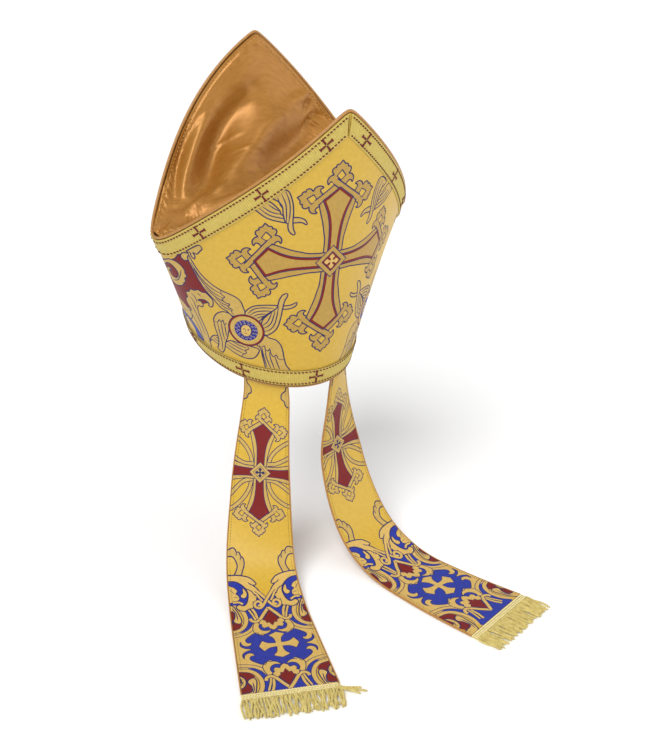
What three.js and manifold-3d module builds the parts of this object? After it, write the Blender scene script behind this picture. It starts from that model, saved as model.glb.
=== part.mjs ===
// Bishop's mitre: two stiff brocade horns edged with woven galloon and satin piping, a satin crown
// that sinks between them, and two fringed lappets that hang from the back of the rim and lie out
// on a level surface. Millimetres, +Z up, +Y to the wearer's back and +X to the wearer's left.
// The origin is the centre of the head opening.

import * as THREE from 'three';
import Module from 'manifold-3d';

// How the crown sits on the head
const LEAN_BACK_DEG = 15;

// Outline of the crown, on its outside face
const RIM_WIDTH = 170;
const RIM_DEPTH = 221;
const RIM_SIDE_DIP = 5;
const HORN_HEIGHT = 307;
const VALLEY_HEIGHT = 143;

// Cloth, braid and piping
const PANEL_THICKNESS = 2.4;
const PIPING_DIAMETER = 3;
const GALLOON_WIDTH = 18.8;
const GALLOON_THICKNESS = 0.8;
const LINING_THICKNESS = 1;
const CLEARANCE = 0.3;
const BRAID_CLEARANCE = 0.4;
const SIDE_SEAM_DEG = 0.2;

// Satin crown between the horns
const LINING_SEAM_DEPTH = 5;
const LINING_CENTRE_HEIGHT = 188;
const LINING_SIDE_HEIGHT = 146;
const LINING_END_DEG = 78;
const LINING_TROUGH_POWER = 2.3;

// Lappets
const LAPPET_LENGTH = 382;
const LAPPET_TOP_WIDTH = 51;
const LAPPET_END_WIDTH = 94.5;
const LAPPET_OFFSET = 45.5;
const LAPPET_TUCK = 12;
const LAPPET_FLATTENED_BY = 110;
const LAPPET_FACE_THICKNESS = 0.9;
const LAPPET_BACK_THICKNESS = 0.9;
const LAPPET_BINDING = 1.5;

// Fringes
const FRINGE_HEAD_LENGTH = 8;
const FRINGE_HEAD_THICKNESS = 2.6;
const FRINGE_LENGTH = 31;
const FRINGE_LOCK_COUNT = 17;
const FRINGE_LOCK_WIDTH = 5.4;
const FRINGE_LOCK_THICKNESS = 3.2;
const FRINGE_LOCK_SIDES = 5;
const FRINGE_SPREAD_DEG = 7;

// Fineness of the lofts
const HALF_COLUMNS = 16;
const COLUMN_CROWDING = 1.3;
const PANEL_ROWS = 10;
const LINING_ROWS = 14;
const PIPING_SIDES = 6;
const LAPPET_STATIONS = 24;
const LAPPET_STRIPS = 4;

// Level sections of the wall: height is a share of HORN_HEIGHT, width of half RIM_WIDTH, the
// depths of half RIM_DEPTH, and pinch flattens the section towards its two sides.
const WALL_SECTIONS = [
  { height: 0, width: 1, backDepth: 1, frontDepth: 1, pinch: 0 },
  { height: 0.5, width: 1.78, backDepth: 0.931, frontDepth: 1, pinch: 0.62 },
  { height: 1, width: 2.687, backDepth: 0.823, frontDepth: 0.898, pinch: 1.26 },
];

// Top edge of each horn: fall is the slope at the peak as a share of the horn above the valley,
// bend the power that rounds it into the valley, and soften the share that blunts the peak.
const TOP_EDGES = {
  back: { side: 1, depth: 'backDepth', fall: 1.289, bend: 1.611, soften: 0.0265 },
  front: { side: -1, depth: 'frontDepth', fall: 1.114, bend: 4.554, soften: 0.0165 },
};

// Folds of the satin crown: across is the place from right (-1) to left (1), over the place from
// the front edge (-1) to the back edge (1), depth a share of LINING_CENTRE_HEIGHT and width a
// share of the sheet.
const LINING_FOLDS = [
  { across: 0.8, over: -0.5, toAcross: 0.25, toOver: -0.92, depth: -0.032, width: 0.075 },
  { across: 0.55, over: -0.2, toAcross: -0.02, toOver: -0.8, depth: 0.036, width: 0.1 },
  { across: 0.3, over: 0.0, toAcross: -0.3, toOver: -0.75, depth: -0.042, width: 0.085 },
  { across: -0.05, over: 0.1, toAcross: -0.5, toOver: -0.6, depth: 0.036, width: 0.1 },
  { across: -0.25, over: 0.3, toAcross: -0.75, toOver: -0.3, depth: -0.036, width: 0.085 },
  { across: 0.7, over: 0.3, toAcross: 0.2, toOver: 0.8, depth: -0.036, width: 0.09 },
  { across: 0.35, over: 0.25, toAcross: -0.15, toOver: 0.8, depth: 0.034, width: 0.1 },
  { across: -0.1, over: 0.45, toAcross: -0.65, toOver: 0.6, depth: -0.036, width: 0.085 },
];

// Lay of each lappet: along is a share of its length, incline the degrees that it climbs there and
// heading the degrees that it points away from +Y towards +X.
const LAPPET_LAYS = [
  {
    name: 'left', hand: 1,
    inclines: [
      { along: 0, incline: -100 }, { along: 0.07, incline: -77 }, { along: 0.15, incline: -72 },
      { along: 0.3, incline: -79 }, { along: 0.45, incline: -61.5 }, { along: 0.6, incline: -18 },
      { along: 0.75, incline: 0 }, { along: 1, incline: 0 },
    ],
    headings: [
      { along: 0, heading: 49 }, { along: 0.3, heading: 40 }, { along: 0.6, heading: 20 },
      { along: 1, heading: 19 },
    ],
  },
  {
    name: 'right', hand: -1,
    inclines: [
      { along: 0, incline: -97 }, { along: 0.07, incline: -92 }, { along: 0.15, incline: -91 },
      { along: 0.3, incline: -74 }, { along: 0.45, incline: -55 }, { along: 0.6, incline: -20 },
      { along: 0.75, incline: 0 }, { along: 1, incline: 0 },
    ],
    headings: [
      { along: 0, heading: -27 }, { along: 0.3, heading: -15 }, { along: 0.6, heading: -11 },
      { along: 1, heading: -19.5 },
    ],
  },
];

const radians = THREE.MathUtils.degToRad;
const leanMatrix = new THREE.Matrix4().makeRotationX(-radians(LEAN_BACK_DEG));
const wasm = await Module();
wasm.setup();

const materials = {
  brocade: cloth('#d9ae48', 0.5),
  galloon: cloth('#cdbf62', 0.6),
  piping: cloth('#b88a52', 0.45),
  lining: cloth('#b27f42', 0.4),
  fringe: cloth('#d8c978', 0.7),
};

function cloth(colour, roughness) {
  return new THREE.MeshStandardMaterial({ color: colour, roughness, metalness: 0 });
}

// Smooth value of a table column: a cubic through the rows that never overshoots them
function readTable(rows, key, column, at) {
  const last = rows.length - 1;
  const steps = rows.slice(1).map((row, i) => row[key] - rows[i][key]);
  const slopes = steps.map((step, i) => (rows[i + 1][column] - rows[i][column]) / step);
  const tangents = rows.map((row, i) => {
    if (i === 0) return slopes[0];
    if (i === last) return slopes[last - 1];
    if (slopes[i - 1] * slopes[i] <= 0) return 0;
    const before = 2 * steps[i] + steps[i - 1];
    const after = steps[i] + 2 * steps[i - 1];
    return (before + after) / (before / slopes[i - 1] + after / slopes[i]);
  });
  const i = Math.min(Math.max(rows.findIndex((row) => row[key] > at) - 1, 0), last - 1);
  const cell = at >= rows[last][key] ? last - 1 : i;
  const step = steps[cell];
  const t = THREE.MathUtils.clamp((at - rows[cell][key]) / step, 0, 1);
  const start = rows[cell][column] * (1 + 2 * t) * (1 - t) ** 2 + tangents[cell] * step * t * (1 - t) ** 2;
  const end = rows[cell + 1][column] * t ** 2 * (3 - 2 * t) - tangents[cell + 1] * step * t ** 2 * (1 - t);
  return start + end;
}

// Value of a wall column at a height share: the parabola through its three rows
function wallValue(column, share) {
  const [low, middle, high] = WALL_SECTIONS.map((row) => row[column]);
  const slope = 4 * middle - 3 * low - high;
  const curve = 2 * (low + high - 2 * middle);
  return low + slope * share + curve * share * share;
}

// Point of the wall's outside face in the crown's own frame; angle runs from -90 at the wearer's
// right to 90 at the left
function facePoint(horn, angle, z) {
  const share = z / HORN_HEIGHT;
  const sine = Math.sin(angle);
  const halfWidth = (RIM_WIDTH / 2) * wallValue('width', share);
  const halfDepth = (RIM_DEPTH / 2) * wallValue(horn.depth, share);
  const pinch = 1 - wallValue('pinch', share) * sine * sine;
  return new THREE.Vector3(halfWidth * sine, horn.side * halfDepth * Math.cos(angle) * pinch, z);
}

function faceFrame(horn, angle, z) {
  const nudge = 1e-3;
  const along = facePoint(horn, angle + nudge, z).sub(facePoint(horn, angle - nudge, z));
  const up = facePoint(horn, angle, z + nudge).sub(facePoint(horn, angle, z - nudge));
  const normal = new THREE.Vector3().crossVectors(up, along).multiplyScalar(horn.side).normalize();
  return { along: along.divideScalar(2 * nudge), up: up.divideScalar(2 * nudge), normal };
}

// Point at a distance outside the face, or inside where the distance is negative
function wallPoint(horn, angle, z, offset) {
  return facePoint(horn, angle, z).addScaledVector(faceFrame(horn, angle, z).normal, offset);
}

function rimHeight(angle) {
  return -RIM_SIDE_DIP * Math.sin(angle) ** 2;
}

function edgeHeight(horn, angle, soften) {
  const share = Math.hypot(Math.sin(angle), soften);
  const rise = 1 - horn.fall * share - (1 - horn.fall) * share ** horn.bend;
  return VALLEY_HEIGHT + (HORN_HEIGHT - VALLEY_HEIGHT) * rise;
}

// Height of the line that runs a distance below the top edge, measured square to the edge
function belowEdge(horn, angle, distance, soften = horn.soften) {
  const nudge = 1e-3;
  const z = edgeHeight(horn, angle, soften);
  const slope = (edgeHeight(horn, angle + nudge, soften) - edgeHeight(horn, angle, soften)) / nudge;
  const frame = faceFrame(horn, angle, z);
  const tangent = frame.along.clone().addScaledVector(frame.up, slope).normalize();
  const up = frame.up.clone().normalize();
  return z - distance / Math.sqrt(1 - tangent.dot(up) ** 2) / frame.up.length();
}

// Angles of the columns from the middle of a horn to its side seam
function halfColumns() {
  const end = radians(90 - SIDE_SEAM_DEG);
  return Array.from({ length: HALF_COLUMNS + 1 }, (_, i) => end * (i / HALF_COLUMNS) ** COLUMN_CROWDING);
}

function fullColumns() {
  const half = halfColumns();
  return [...half.slice(1).reverse().map((angle) => -angle), ...half];
}

// Triangles that close a section: its first half is joined to its second half point by point
function capFaces(size) {
  const faces = [];
  for (let low = 0, high = size - 1; low + 1 < high; low += 1, high -= 1) {
    faces.push([low, low + 1, high]);
    if (low + 1 < high - 1) faces.push([low + 1, high - 1, high]);
  }
  return faces;
}

// Solid through a list of alike sections. The second half of a section has its quads cut the other
// way, so that the two faces of a sheet are cut alike.
function loft(sections, closed = false) {
  const size = sections[0].length;
  const positions = sections.flat().flatMap((point) => [point.x, point.y, point.z]);
  const faces = [];
  const spans = closed ? sections.length : sections.length - 1;
  for (let i = 0; i < spans; i += 1) {
    const here = i * size;
    const next = ((i + 1) % sections.length) * size;
    for (let j = 0; j < size; j += 1) {
      const beside = (j + 1) % size;
      const corners = [here + j, next + j, next + beside, here + beside];
      const [a, b, c, d] = j < size / 2 ? corners : [...corners.slice(1), corners[0]];
      faces.push([a, b, c], [a, c, d]);
    }
  }
  if (!closed) {
    const last = (sections.length - 1) * size;
    capFaces(size).forEach(([a, b, c]) => faces.push([a, b, c], [last + c, last + b, last + a]));
  }
  const outward = signedVolume(positions, faces) > 0;
  const geometry = new THREE.BufferGeometry();
  geometry.setAttribute('position', new THREE.Float32BufferAttribute(positions, 3));
  geometry.setIndex(faces.flatMap(([a, b, c]) => (outward ? [a, b, c] : [c, b, a])));
  geometry.computeVertexNormals();
  return geometry;
}

function signedVolume(positions, faces) {
  const point = (i) => new THREE.Vector3().fromArray(positions, 3 * i);
  return faces.reduce((sum, [a, b, c]) => sum + point(a).dot(point(b).cross(point(c))), 0);
}

function circlePoints(sides) {
  const turn = (2 * Math.PI) / sides;
  return Array.from({ length: sides }, (_, i) => [Math.cos(i * turn), Math.sin(i * turn)]);
}

// Section of a sheet: one face of points and the other face back again
function sheetSection(rows, place, outer, inner) {
  const shares = Array.from({ length: rows + 1 }, (_, i) => i / rows);
  return [...shares.map((share) => place(share, outer)), ...shares.reverse().map((share) => place(share, inner))];
}

function named(name, geometry, material) {
  const mesh = new THREE.Mesh(geometry, material);
  mesh.name = name;
  return mesh;
}

// Brocade panel of a horn, from the rim piping to the edge piping
function hornPanel(horn) {
  const seam = PIPING_DIAMETER + CLEARANCE;
  const sections = fullColumns().map((angle) => {
    const low = rimHeight(angle) + seam;
    const high = belowEdge(horn, angle, seam);
    const place = (share, offset) => wallPoint(horn, angle, low + (high - low) * share, offset);
    return sheetSection(PANEL_ROWS, place, 0, -PANEL_THICKNESS);
  });
  return loft(sections);
}

// Round piping that stands on the edge of the panels, at half their thickness
function pipingSection(horn, angle, z) {
  const centre = wallPoint(horn, angle, z, -PANEL_THICKNESS / 2);
  const frame = faceFrame(horn, angle, z);
  const up = frame.up.clone().addScaledVector(frame.normal, -frame.up.dot(frame.normal)).normalize();
  return circlePoints(PIPING_SIDES).map(([x, y]) => centre.clone()
    .addScaledVector(frame.normal, (x * PIPING_DIAMETER) / 2)
    .addScaledVector(up, (y * PIPING_DIAMETER) / 2));
}

// On a slope the section is sheared along the edge, so its upright half is drawn out to keep the
// piping round
function edgePiping(horn) {
  const radius = PIPING_DIAMETER / 2;
  const sections = fullColumns().map((angle) => {
    const z = belowEdge(horn, angle, radius);
    const drop = edgeHeight(horn, angle, horn.soften) - z;
    const centre = facePoint(horn, angle, z);
    return pipingSection(horn, angle, z).map((point) => {
      const frame = faceFrame(horn, angle, z);
      const up = frame.up.clone().normalize();
      const height = point.clone().sub(centre).dot(up);
      return point.addScaledVector(up, height * ((drop * frame.up.length()) / radius - 1));
    });
  });
  return loft(sections);
}

// Columns all the way round the rim, the back horn's first
function ringColumns() {
  const columns = fullColumns();
  const back = columns.map((angle) => ({ horn: TOP_EDGES.back, angle }));
  const front = columns.map((angle) => ({ horn: TOP_EDGES.front, angle })).reverse();
  return [...back, ...front];
}

function rimPiping() {
  const sections = ringColumns().map(({ horn, angle }) => (
    pipingSection(horn, angle, rimHeight(angle) + PIPING_DIAMETER / 2)));
  return loft(sections, true);
}

// Galloon round the base, on the outside of both panels
function baseGalloon() {
  const sections = ringColumns().map(({ horn, angle }) => {
    const low = rimHeight(angle) + PIPING_DIAMETER + CLEARANCE;
    const place = (share, offset) => wallPoint(horn, angle, low + GALLOON_WIDTH * share, offset);
    return sheetSection(1, place, BRAID_CLEARANCE + GALLOON_THICKNESS, BRAID_CLEARANCE);
  });
  return loft(sections, true);
}

// Galloon along one half of a horn's edge, mitred at the peak. Its upper line follows the blunted
// edge and its lower line the sharp one, so the two halves meet in a point.
function edgeGalloon(horn, hand) {
  const upper = PIPING_DIAMETER + CLEARANCE;
  const seam = Math.asin(CLEARANCE / RIM_WIDTH / wallValue('width', 1));
  const angles = halfColumns().map((angle) => hand * Math.max(angle, seam));
  const sections = angles.map((angle) => {
    const high = belowEdge(horn, angle, upper);
    const low = belowEdge(horn, angle, upper + GALLOON_WIDTH, 0);
    const place = (share, offset) => wallPoint(horn, angle, low + (high - low) * share, offset);
    return sheetSection(1, place, BRAID_CLEARANCE + GALLOON_THICKNESS, BRAID_CLEARANCE);
  });
  return loft(sections);
}

// Depth of the folds at a place of the satin crown
function foldDepth(across, over) {
  const here = new THREE.Vector3(across, over, 0);
  const edgeFade = 1 - THREE.MathUtils.smoothstep(Math.max(Math.abs(across), Math.abs(over)), 0.7, 0.95);
  return LINING_FOLDS.reduce((sum, fold) => {
    const line = new THREE.Line3(
      new THREE.Vector3(fold.across, fold.over, 0),
      new THREE.Vector3(fold.toAcross, fold.toOver, 0),
    );
    const away = line.closestPointToPoint(here, true, new THREE.Vector3()).distanceTo(here);
    return sum + fold.depth * Math.exp(-((away / fold.width) ** 2));
  }, 0) * LINING_CENTRE_HEIGHT * edgeFade;
}

// Satin crown: it leaves both edges inside the panels and sinks in a trough from valley to valley
function liningPoint(angle, over, offset) {
  const inside = -PANEL_THICKNESS - CLEARANCE - LINING_THICKNESS;
  const ends = [TOP_EDGES.front, TOP_EDGES.back].map((horn) => (
    wallPoint(horn, angle, belowEdge(horn, angle, LINING_SEAM_DEPTH), inside)));
  const share = (over + 1) / 2;
  const point = ends[0].clone().lerp(ends[1], share);
  const reach = ends[1].x === 0 ? 0 : point.x / (RIM_WIDTH / 2) / wallValue('width', VALLEY_HEIGHT / HORN_HEIGHT);
  const spine = LINING_SIDE_HEIGHT + (LINING_CENTRE_HEIGHT - LINING_SIDE_HEIGHT) * (1 - reach * reach);
  const edge = over < 0 ? ends[0].z : ends[1].z;
  const sag = Math.max(edge - spine, 0);
  point.z = edge - sag * (1 - Math.abs(over) ** LINING_TROUGH_POWER) + foldDepth(reach, over) + offset;
  return point;
}

function crownLining() {
  const scale = LINING_END_DEG / (90 - SIDE_SEAM_DEG);
  const grid = fullColumns().map((angle) => (
    Array.from({ length: LINING_ROWS + 1 }, (_, i) => liningPoint(angle * scale, (2 * i) / LINING_ROWS - 1, 0))));
  const normals = grid.map((column, i) => column.map((_, j) => {
    const before = grid[Math.max(i - 1, 0)][j];
    const after = grid[Math.min(i + 1, grid.length - 1)][j];
    const lower = column[Math.max(j - 1, 0)];
    const upper = column[Math.min(j + 1, LINING_ROWS)];
    return after.clone().sub(before).cross(upper.clone().sub(lower)).normalize();
  }));
  const half = LINING_THICKNESS / 2;
  const sections = grid.map((column, i) => [
    ...column.map((point, j) => point.clone().addScaledVector(normals[i][j], half)),
    ...column.map((point, j) => point.clone().addScaledVector(normals[i][j], -half)).reverse(),
  ]);
  return loft(sections);
}

// Middle line of a lappet from the rim outwards, in even steps, with its crosswise direction
function lappetLine(lay, stations) {
  const start = rimInside(lay, 0, 0);
  const step = LAPPET_LENGTH / (stations - 1);
  const line = [];
  const point = start.clone();
  for (let i = 0; i < stations; i += 1) {
    line.push({ distance: i * step, point: point.clone(), ...lappetDirections(lay, i / (stations - 1)) });
    point.addScaledVector(lappetDirections(lay, (i + 0.5) / (stations - 1)).ahead, step);
  }
  return line;
}

function lappetDirections(lay, along) {
  const incline = radians(readTable(lay.inclines, 'along', 'incline', along));
  const heading = radians(readTable(lay.headings, 'along', 'heading', along));
  const out = new THREE.Vector3(Math.sin(heading), Math.cos(heading), 0);
  return {
    ahead: out.clone().multiplyScalar(Math.cos(incline)).setZ(Math.sin(incline)),
    crosswise: new THREE.Vector3(Math.cos(heading), -Math.sin(heading), 0),
  };
}

// Point on the inside of the back rim where a lappet is sewn: crosswise from its middle, and above
function rimInside(lay, crosswise, above) {
  const horn = TOP_EDGES.back;
  const sewnDepth = lappetThickness() / 2 + CLEARANCE + PANEL_THICKNESS / 2 + PIPING_DIAMETER / 2;
  const arcStep = (angle) => facePoint(horn, angle + 1e-3, 0).distanceTo(facePoint(horn, angle, 0)) / 1e-3;
  let angle = lay.hand * Math.asin(LAPPET_OFFSET / (RIM_WIDTH / 2));
  const strides = 8;
  for (let i = 0; i < strides; i += 1) angle += crosswise / strides / arcStep(angle);
  return wallPoint(horn, angle, rimHeight(angle) + above, -sewnDepth).applyMatrix4(leanMatrix);
}

function lappetThickness() {
  return LAPPET_BACK_THICKNESS + CLEARANCE + LAPPET_FACE_THICKNESS;
}

// Middle surface of a lappet: it follows the rim's curve at its top and is flat further down
function lappetGrid(lay, overhang) {
  const shares = Array.from({ length: LAPPET_STRIPS + 1 }, (_, i) => (2 * i) / LAPPET_STRIPS - 1);
  const tuck = [1, 0.5].map((share) => shares.map((side) => (
    rimInside(lay, side * (LAPPET_TOP_WIDTH / 2 + overhang), share * LAPPET_TUCK))));
  const start = rimInside(lay, 0, 0);
  const hanging = lappetLine(lay, LAPPET_STATIONS).map(({ distance, point, crosswise }) => {
    const width = THREE.MathUtils.lerp(LAPPET_TOP_WIDTH, LAPPET_END_WIDTH, distance / LAPPET_LENGTH);
    const flatness = THREE.MathUtils.smoothstep(distance, 0, LAPPET_FLATTENED_BY);
    return shares.map((side) => {
      const reach = side * (width / 2 + overhang);
      const bent = rimInside(lay, reach, 0).add(point).sub(start);
      return bent.lerp(point.clone().addScaledVector(crosswise, reach), flatness);
    });
  });
  return [...tuck, ...hanging];
}

function gridNormals(grid) {
  return grid.map((row, i) => row.map((_, j) => {
    const before = grid[Math.max(i - 1, 0)][j];
    const after = grid[Math.min(i + 1, grid.length - 1)][j];
    const left = row[Math.max(j - 1, 0)];
    const right = row[Math.min(j + 1, row.length - 1)];
    return right.clone().sub(left).cross(after.clone().sub(before)).normalize();
  }));
}

// Brocade face of a lappet, on the upper side
function lappetFace(lay) {
  const grid = lappetGrid(lay, 0);
  const normals = gridNormals(grid);
  const top = lappetThickness() / 2;
  const lift = (row, i, height) => row.map((point, j) => point.clone().addScaledVector(normals[i][j], height));
  const sections = grid.map((row, i) => [
    ...lift(row, i, top),
    ...lift(row, i, top - LAPPET_FACE_THICKNESS).reverse(),
  ]);
  return loft(sections);
}

// Satin back of a lappet: a tray that turns up round the face as a narrow binding
function lappetBack(lay) {
  const outer = lappetGrid(lay, LAPPET_BINDING);
  const inner = lappetGrid(lay, CLEARANCE);
  const normals = gridNormals(lappetGrid(lay, 0));
  const top = lappetThickness() / 2;
  const lift = (row, i, height) => row.map((point, j) => point.clone().addScaledVector(normals[i][j], height));
  const sections = outer.map((row, i) => {
    const brim = lift(row, i, top);
    const lip = lift(inner[i], i, top);
    return [
      brim[0],
      ...lift(row, i, -top),
      brim[LAPPET_STRIPS],
      lip[LAPPET_STRIPS],
      ...lift(inner[i], i, LAPPET_BACK_THICKNESS - top).reverse(),
      lip[0],
    ];
  });
  return loft(sections);
}

function toManifold(geometry) {
  const { manifold, mesh } = { manifold: wasm.Manifold, mesh: wasm.Mesh };
  const vertProperties = new Float32Array(geometry.attributes.position.array);
  const triVerts = new Uint32Array(geometry.index.array);
  return new manifold(new mesh({ numProp: 3, vertProperties, triVerts }));
}

function fromManifold(solid) {
  const mesh = solid.getMesh();
  const geometry = new THREE.BufferGeometry();
  geometry.setAttribute('position', new THREE.Float32BufferAttribute(mesh.vertProperties, 3));
  geometry.setIndex(Array.from(mesh.triVerts));
  geometry.computeVertexNormals();
  return geometry;
}

// One lock of the fringe: a tapered roll that droops from the head to the level below it
function fringeLock(index) {
  const width = LAPPET_END_WIDTH - FRINGE_LOCK_WIDTH;
  const across = (index / (FRINGE_LOCK_COUNT - 1) - 0.5) * width;
  const sway = radians(FRINGE_SPREAD_DEG) * Math.sin(2.3 * index + 0.6);
  const length = FRINGE_LENGTH * (0.95 + 0.05 * Math.cos(1.7 * index));
  const root = FRINGE_HEAD_LENGTH - 1;
  const stations = [
    { along: 0, swell: 0.75 }, { along: 0.35, swell: 1 }, { along: 0.75, swell: 0.95 }, { along: 1, swell: 0.6 },
  ];
  const sections = stations.map(({ along, swell }) => {
    const halfWidth = (swell * FRINGE_LOCK_WIDTH) / 2;
    const halfHeight = (swell * FRINGE_LOCK_THICKNESS) / 2;
    const middle = THREE.MathUtils.lerp(0, halfHeight - lappetThickness() / 2, Math.min(2 * along, 1));
    const side = across + Math.tan(sway) * length * along;
    return circlePoints(FRINGE_LOCK_SIDES).map(([x, z]) => (
      new THREE.Vector3(side + x * halfWidth, root + along * (length + 1), middle + z * halfHeight)));
  });
  return loft(sections);
}

// Braided head of the fringe, a flat bar with bevelled edges across the lappet's end
function fringeHead() {
  const halfWidth = LAPPET_END_WIDTH / 2 + LAPPET_BINDING;
  const low = -lappetThickness() / 2;
  const high = low + FRINGE_HEAD_THICKNESS;
  const bevel = FRINGE_HEAD_THICKNESS / 4;
  const outline = [
    [0, low], [FRINGE_HEAD_LENGTH, low], [FRINGE_HEAD_LENGTH, high - bevel],
    [FRINGE_HEAD_LENGTH - bevel, high], [bevel, high], [0, high - bevel],
  ];
  const sections = [-halfWidth, halfWidth].map((x) => outline.map(([y, z]) => new THREE.Vector3(x, y, z)));
  return loft(sections);
}

function fringe() {
  const locks = Array.from({ length: FRINGE_LOCK_COUNT }, (_, i) => toManifold(fringeLock(i)));
  return fromManifold(locks.reduce((whole, lock) => whole.add(lock), toManifold(fringeHead())));
}

// Fringe laid at the end of a lappet, level with it
function placedFringe(lay) {
  const end = lappetLine(lay, LAPPET_STATIONS).at(-1);
  const mesh = named(`fringe_${lay.name}`, fringe(), materials.fringe);
  mesh.position.copy(end.point).addScaledVector(end.ahead, CLEARANCE);
  mesh.rotation.z = Math.atan2(end.crosswise.y, end.crosswise.x);
  return mesh;
}

const crown = new THREE.Group();
crown.rotation.x = -radians(LEAN_BACK_DEG);
Object.entries(TOP_EDGES).forEach(([name, horn]) => {
  crown.add(named(`${name}_panel`, hornPanel(horn), materials.brocade));
  crown.add(named(`${name}_piping`, edgePiping(horn), materials.piping));
  crown.add(named(`${name}_galloon_left`, edgeGalloon(horn, 1), materials.galloon));
  crown.add(named(`${name}_galloon_right`, edgeGalloon(horn, -1), materials.galloon));
});
crown.add(named('rim_piping', rimPiping(), materials.piping));
crown.add(named('base_galloon', baseGalloon(), materials.galloon));
crown.add(named('crown_lining', crownLining(), materials.lining));

const mitre = new THREE.Group();
mitre.add(crown);
LAPPET_LAYS.forEach((lay) => {
  mitre.add(named(`lappet_face_${lay.name}`, lappetFace(lay), materials.brocade));
  mitre.add(named(`lappet_back_${lay.name}`, lappetBack(lay), materials.lining));
  mitre.add(placedFringe(lay));
});

export default mitre;
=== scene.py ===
"""Bishop's mitre: brocade horns, woven galloon, satin piping and crown, two fringed lappets."""

import logging
import math
from dataclasses import dataclass, field, replace
from enum import Enum
from typing import Callable, Sequence

import bmesh
import bpy
import numpy as np
from mathutils import Matrix, Vector
from mathutils.bvhtree import BVHTree
from mathutils.geometry import delaunay_2d_cdt


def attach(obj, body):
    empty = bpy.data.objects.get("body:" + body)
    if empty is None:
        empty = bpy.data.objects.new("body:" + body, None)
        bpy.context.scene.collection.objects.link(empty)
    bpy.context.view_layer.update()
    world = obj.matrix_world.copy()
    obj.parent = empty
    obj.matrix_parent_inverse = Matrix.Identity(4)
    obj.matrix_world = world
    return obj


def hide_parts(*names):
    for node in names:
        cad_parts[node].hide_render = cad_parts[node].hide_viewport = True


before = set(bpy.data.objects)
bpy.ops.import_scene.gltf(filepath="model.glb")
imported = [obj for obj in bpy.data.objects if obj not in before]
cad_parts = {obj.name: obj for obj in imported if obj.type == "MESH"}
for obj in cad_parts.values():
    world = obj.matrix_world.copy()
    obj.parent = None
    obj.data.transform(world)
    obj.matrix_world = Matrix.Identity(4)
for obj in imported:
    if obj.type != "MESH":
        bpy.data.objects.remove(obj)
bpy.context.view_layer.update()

LOG = logging.getLogger("mitre")
MM = 0.001
NUDGE = 1e-4
SOFT_ZERO = 1e-12
Points = Sequence[tuple[float, float]]
Placer = Callable[[np.ndarray], np.ndarray]


def unit(rows: np.ndarray, least: float = 0.0) -> np.ndarray:
    """Directions of rows of vectors; least keeps a row of no length from a division by nothing."""
    return rows / (np.linalg.norm(rows, axis=-1, keepdims=True) + least)


def run_length(line: np.ndarray) -> np.ndarray:
    """Length along a line at each of its points, from its first."""
    return np.concatenate([[0.0], np.cumsum(np.linalg.norm(np.diff(line, axis=0), axis=1))])


@dataclass(frozen=True)
class HornShape:
    """How one horn's depth and top edge run; the values are shares, as in the part's own tables."""

    depths: tuple[float, float, float]
    fall: float
    bend: float
    soften: float
    turned: bool


class Horn(Enum):
    """The two horns of the crown."""

    BACK = HornShape((1.0, 0.931, 0.823), 1.289, 1.611, 0.0265, False)
    FRONT = HornShape((1.0, 1.0, 0.898), 1.114, 4.554, 0.0165, True)


def parabola(rows: Sequence[float], share: np.ndarray) -> np.ndarray:
    """Value of a column of three rows at a height share.

    Args:
        rows: values at the shares 0, a half and 1.
        share: where to read it.

    Returns:
        The value of the parabola through the three rows.
    """
    low, middle, high = rows
    return low + (4 * middle - 3 * low - high) * share + 2 * (low + high - 2 * middle) * share ** 2


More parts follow.
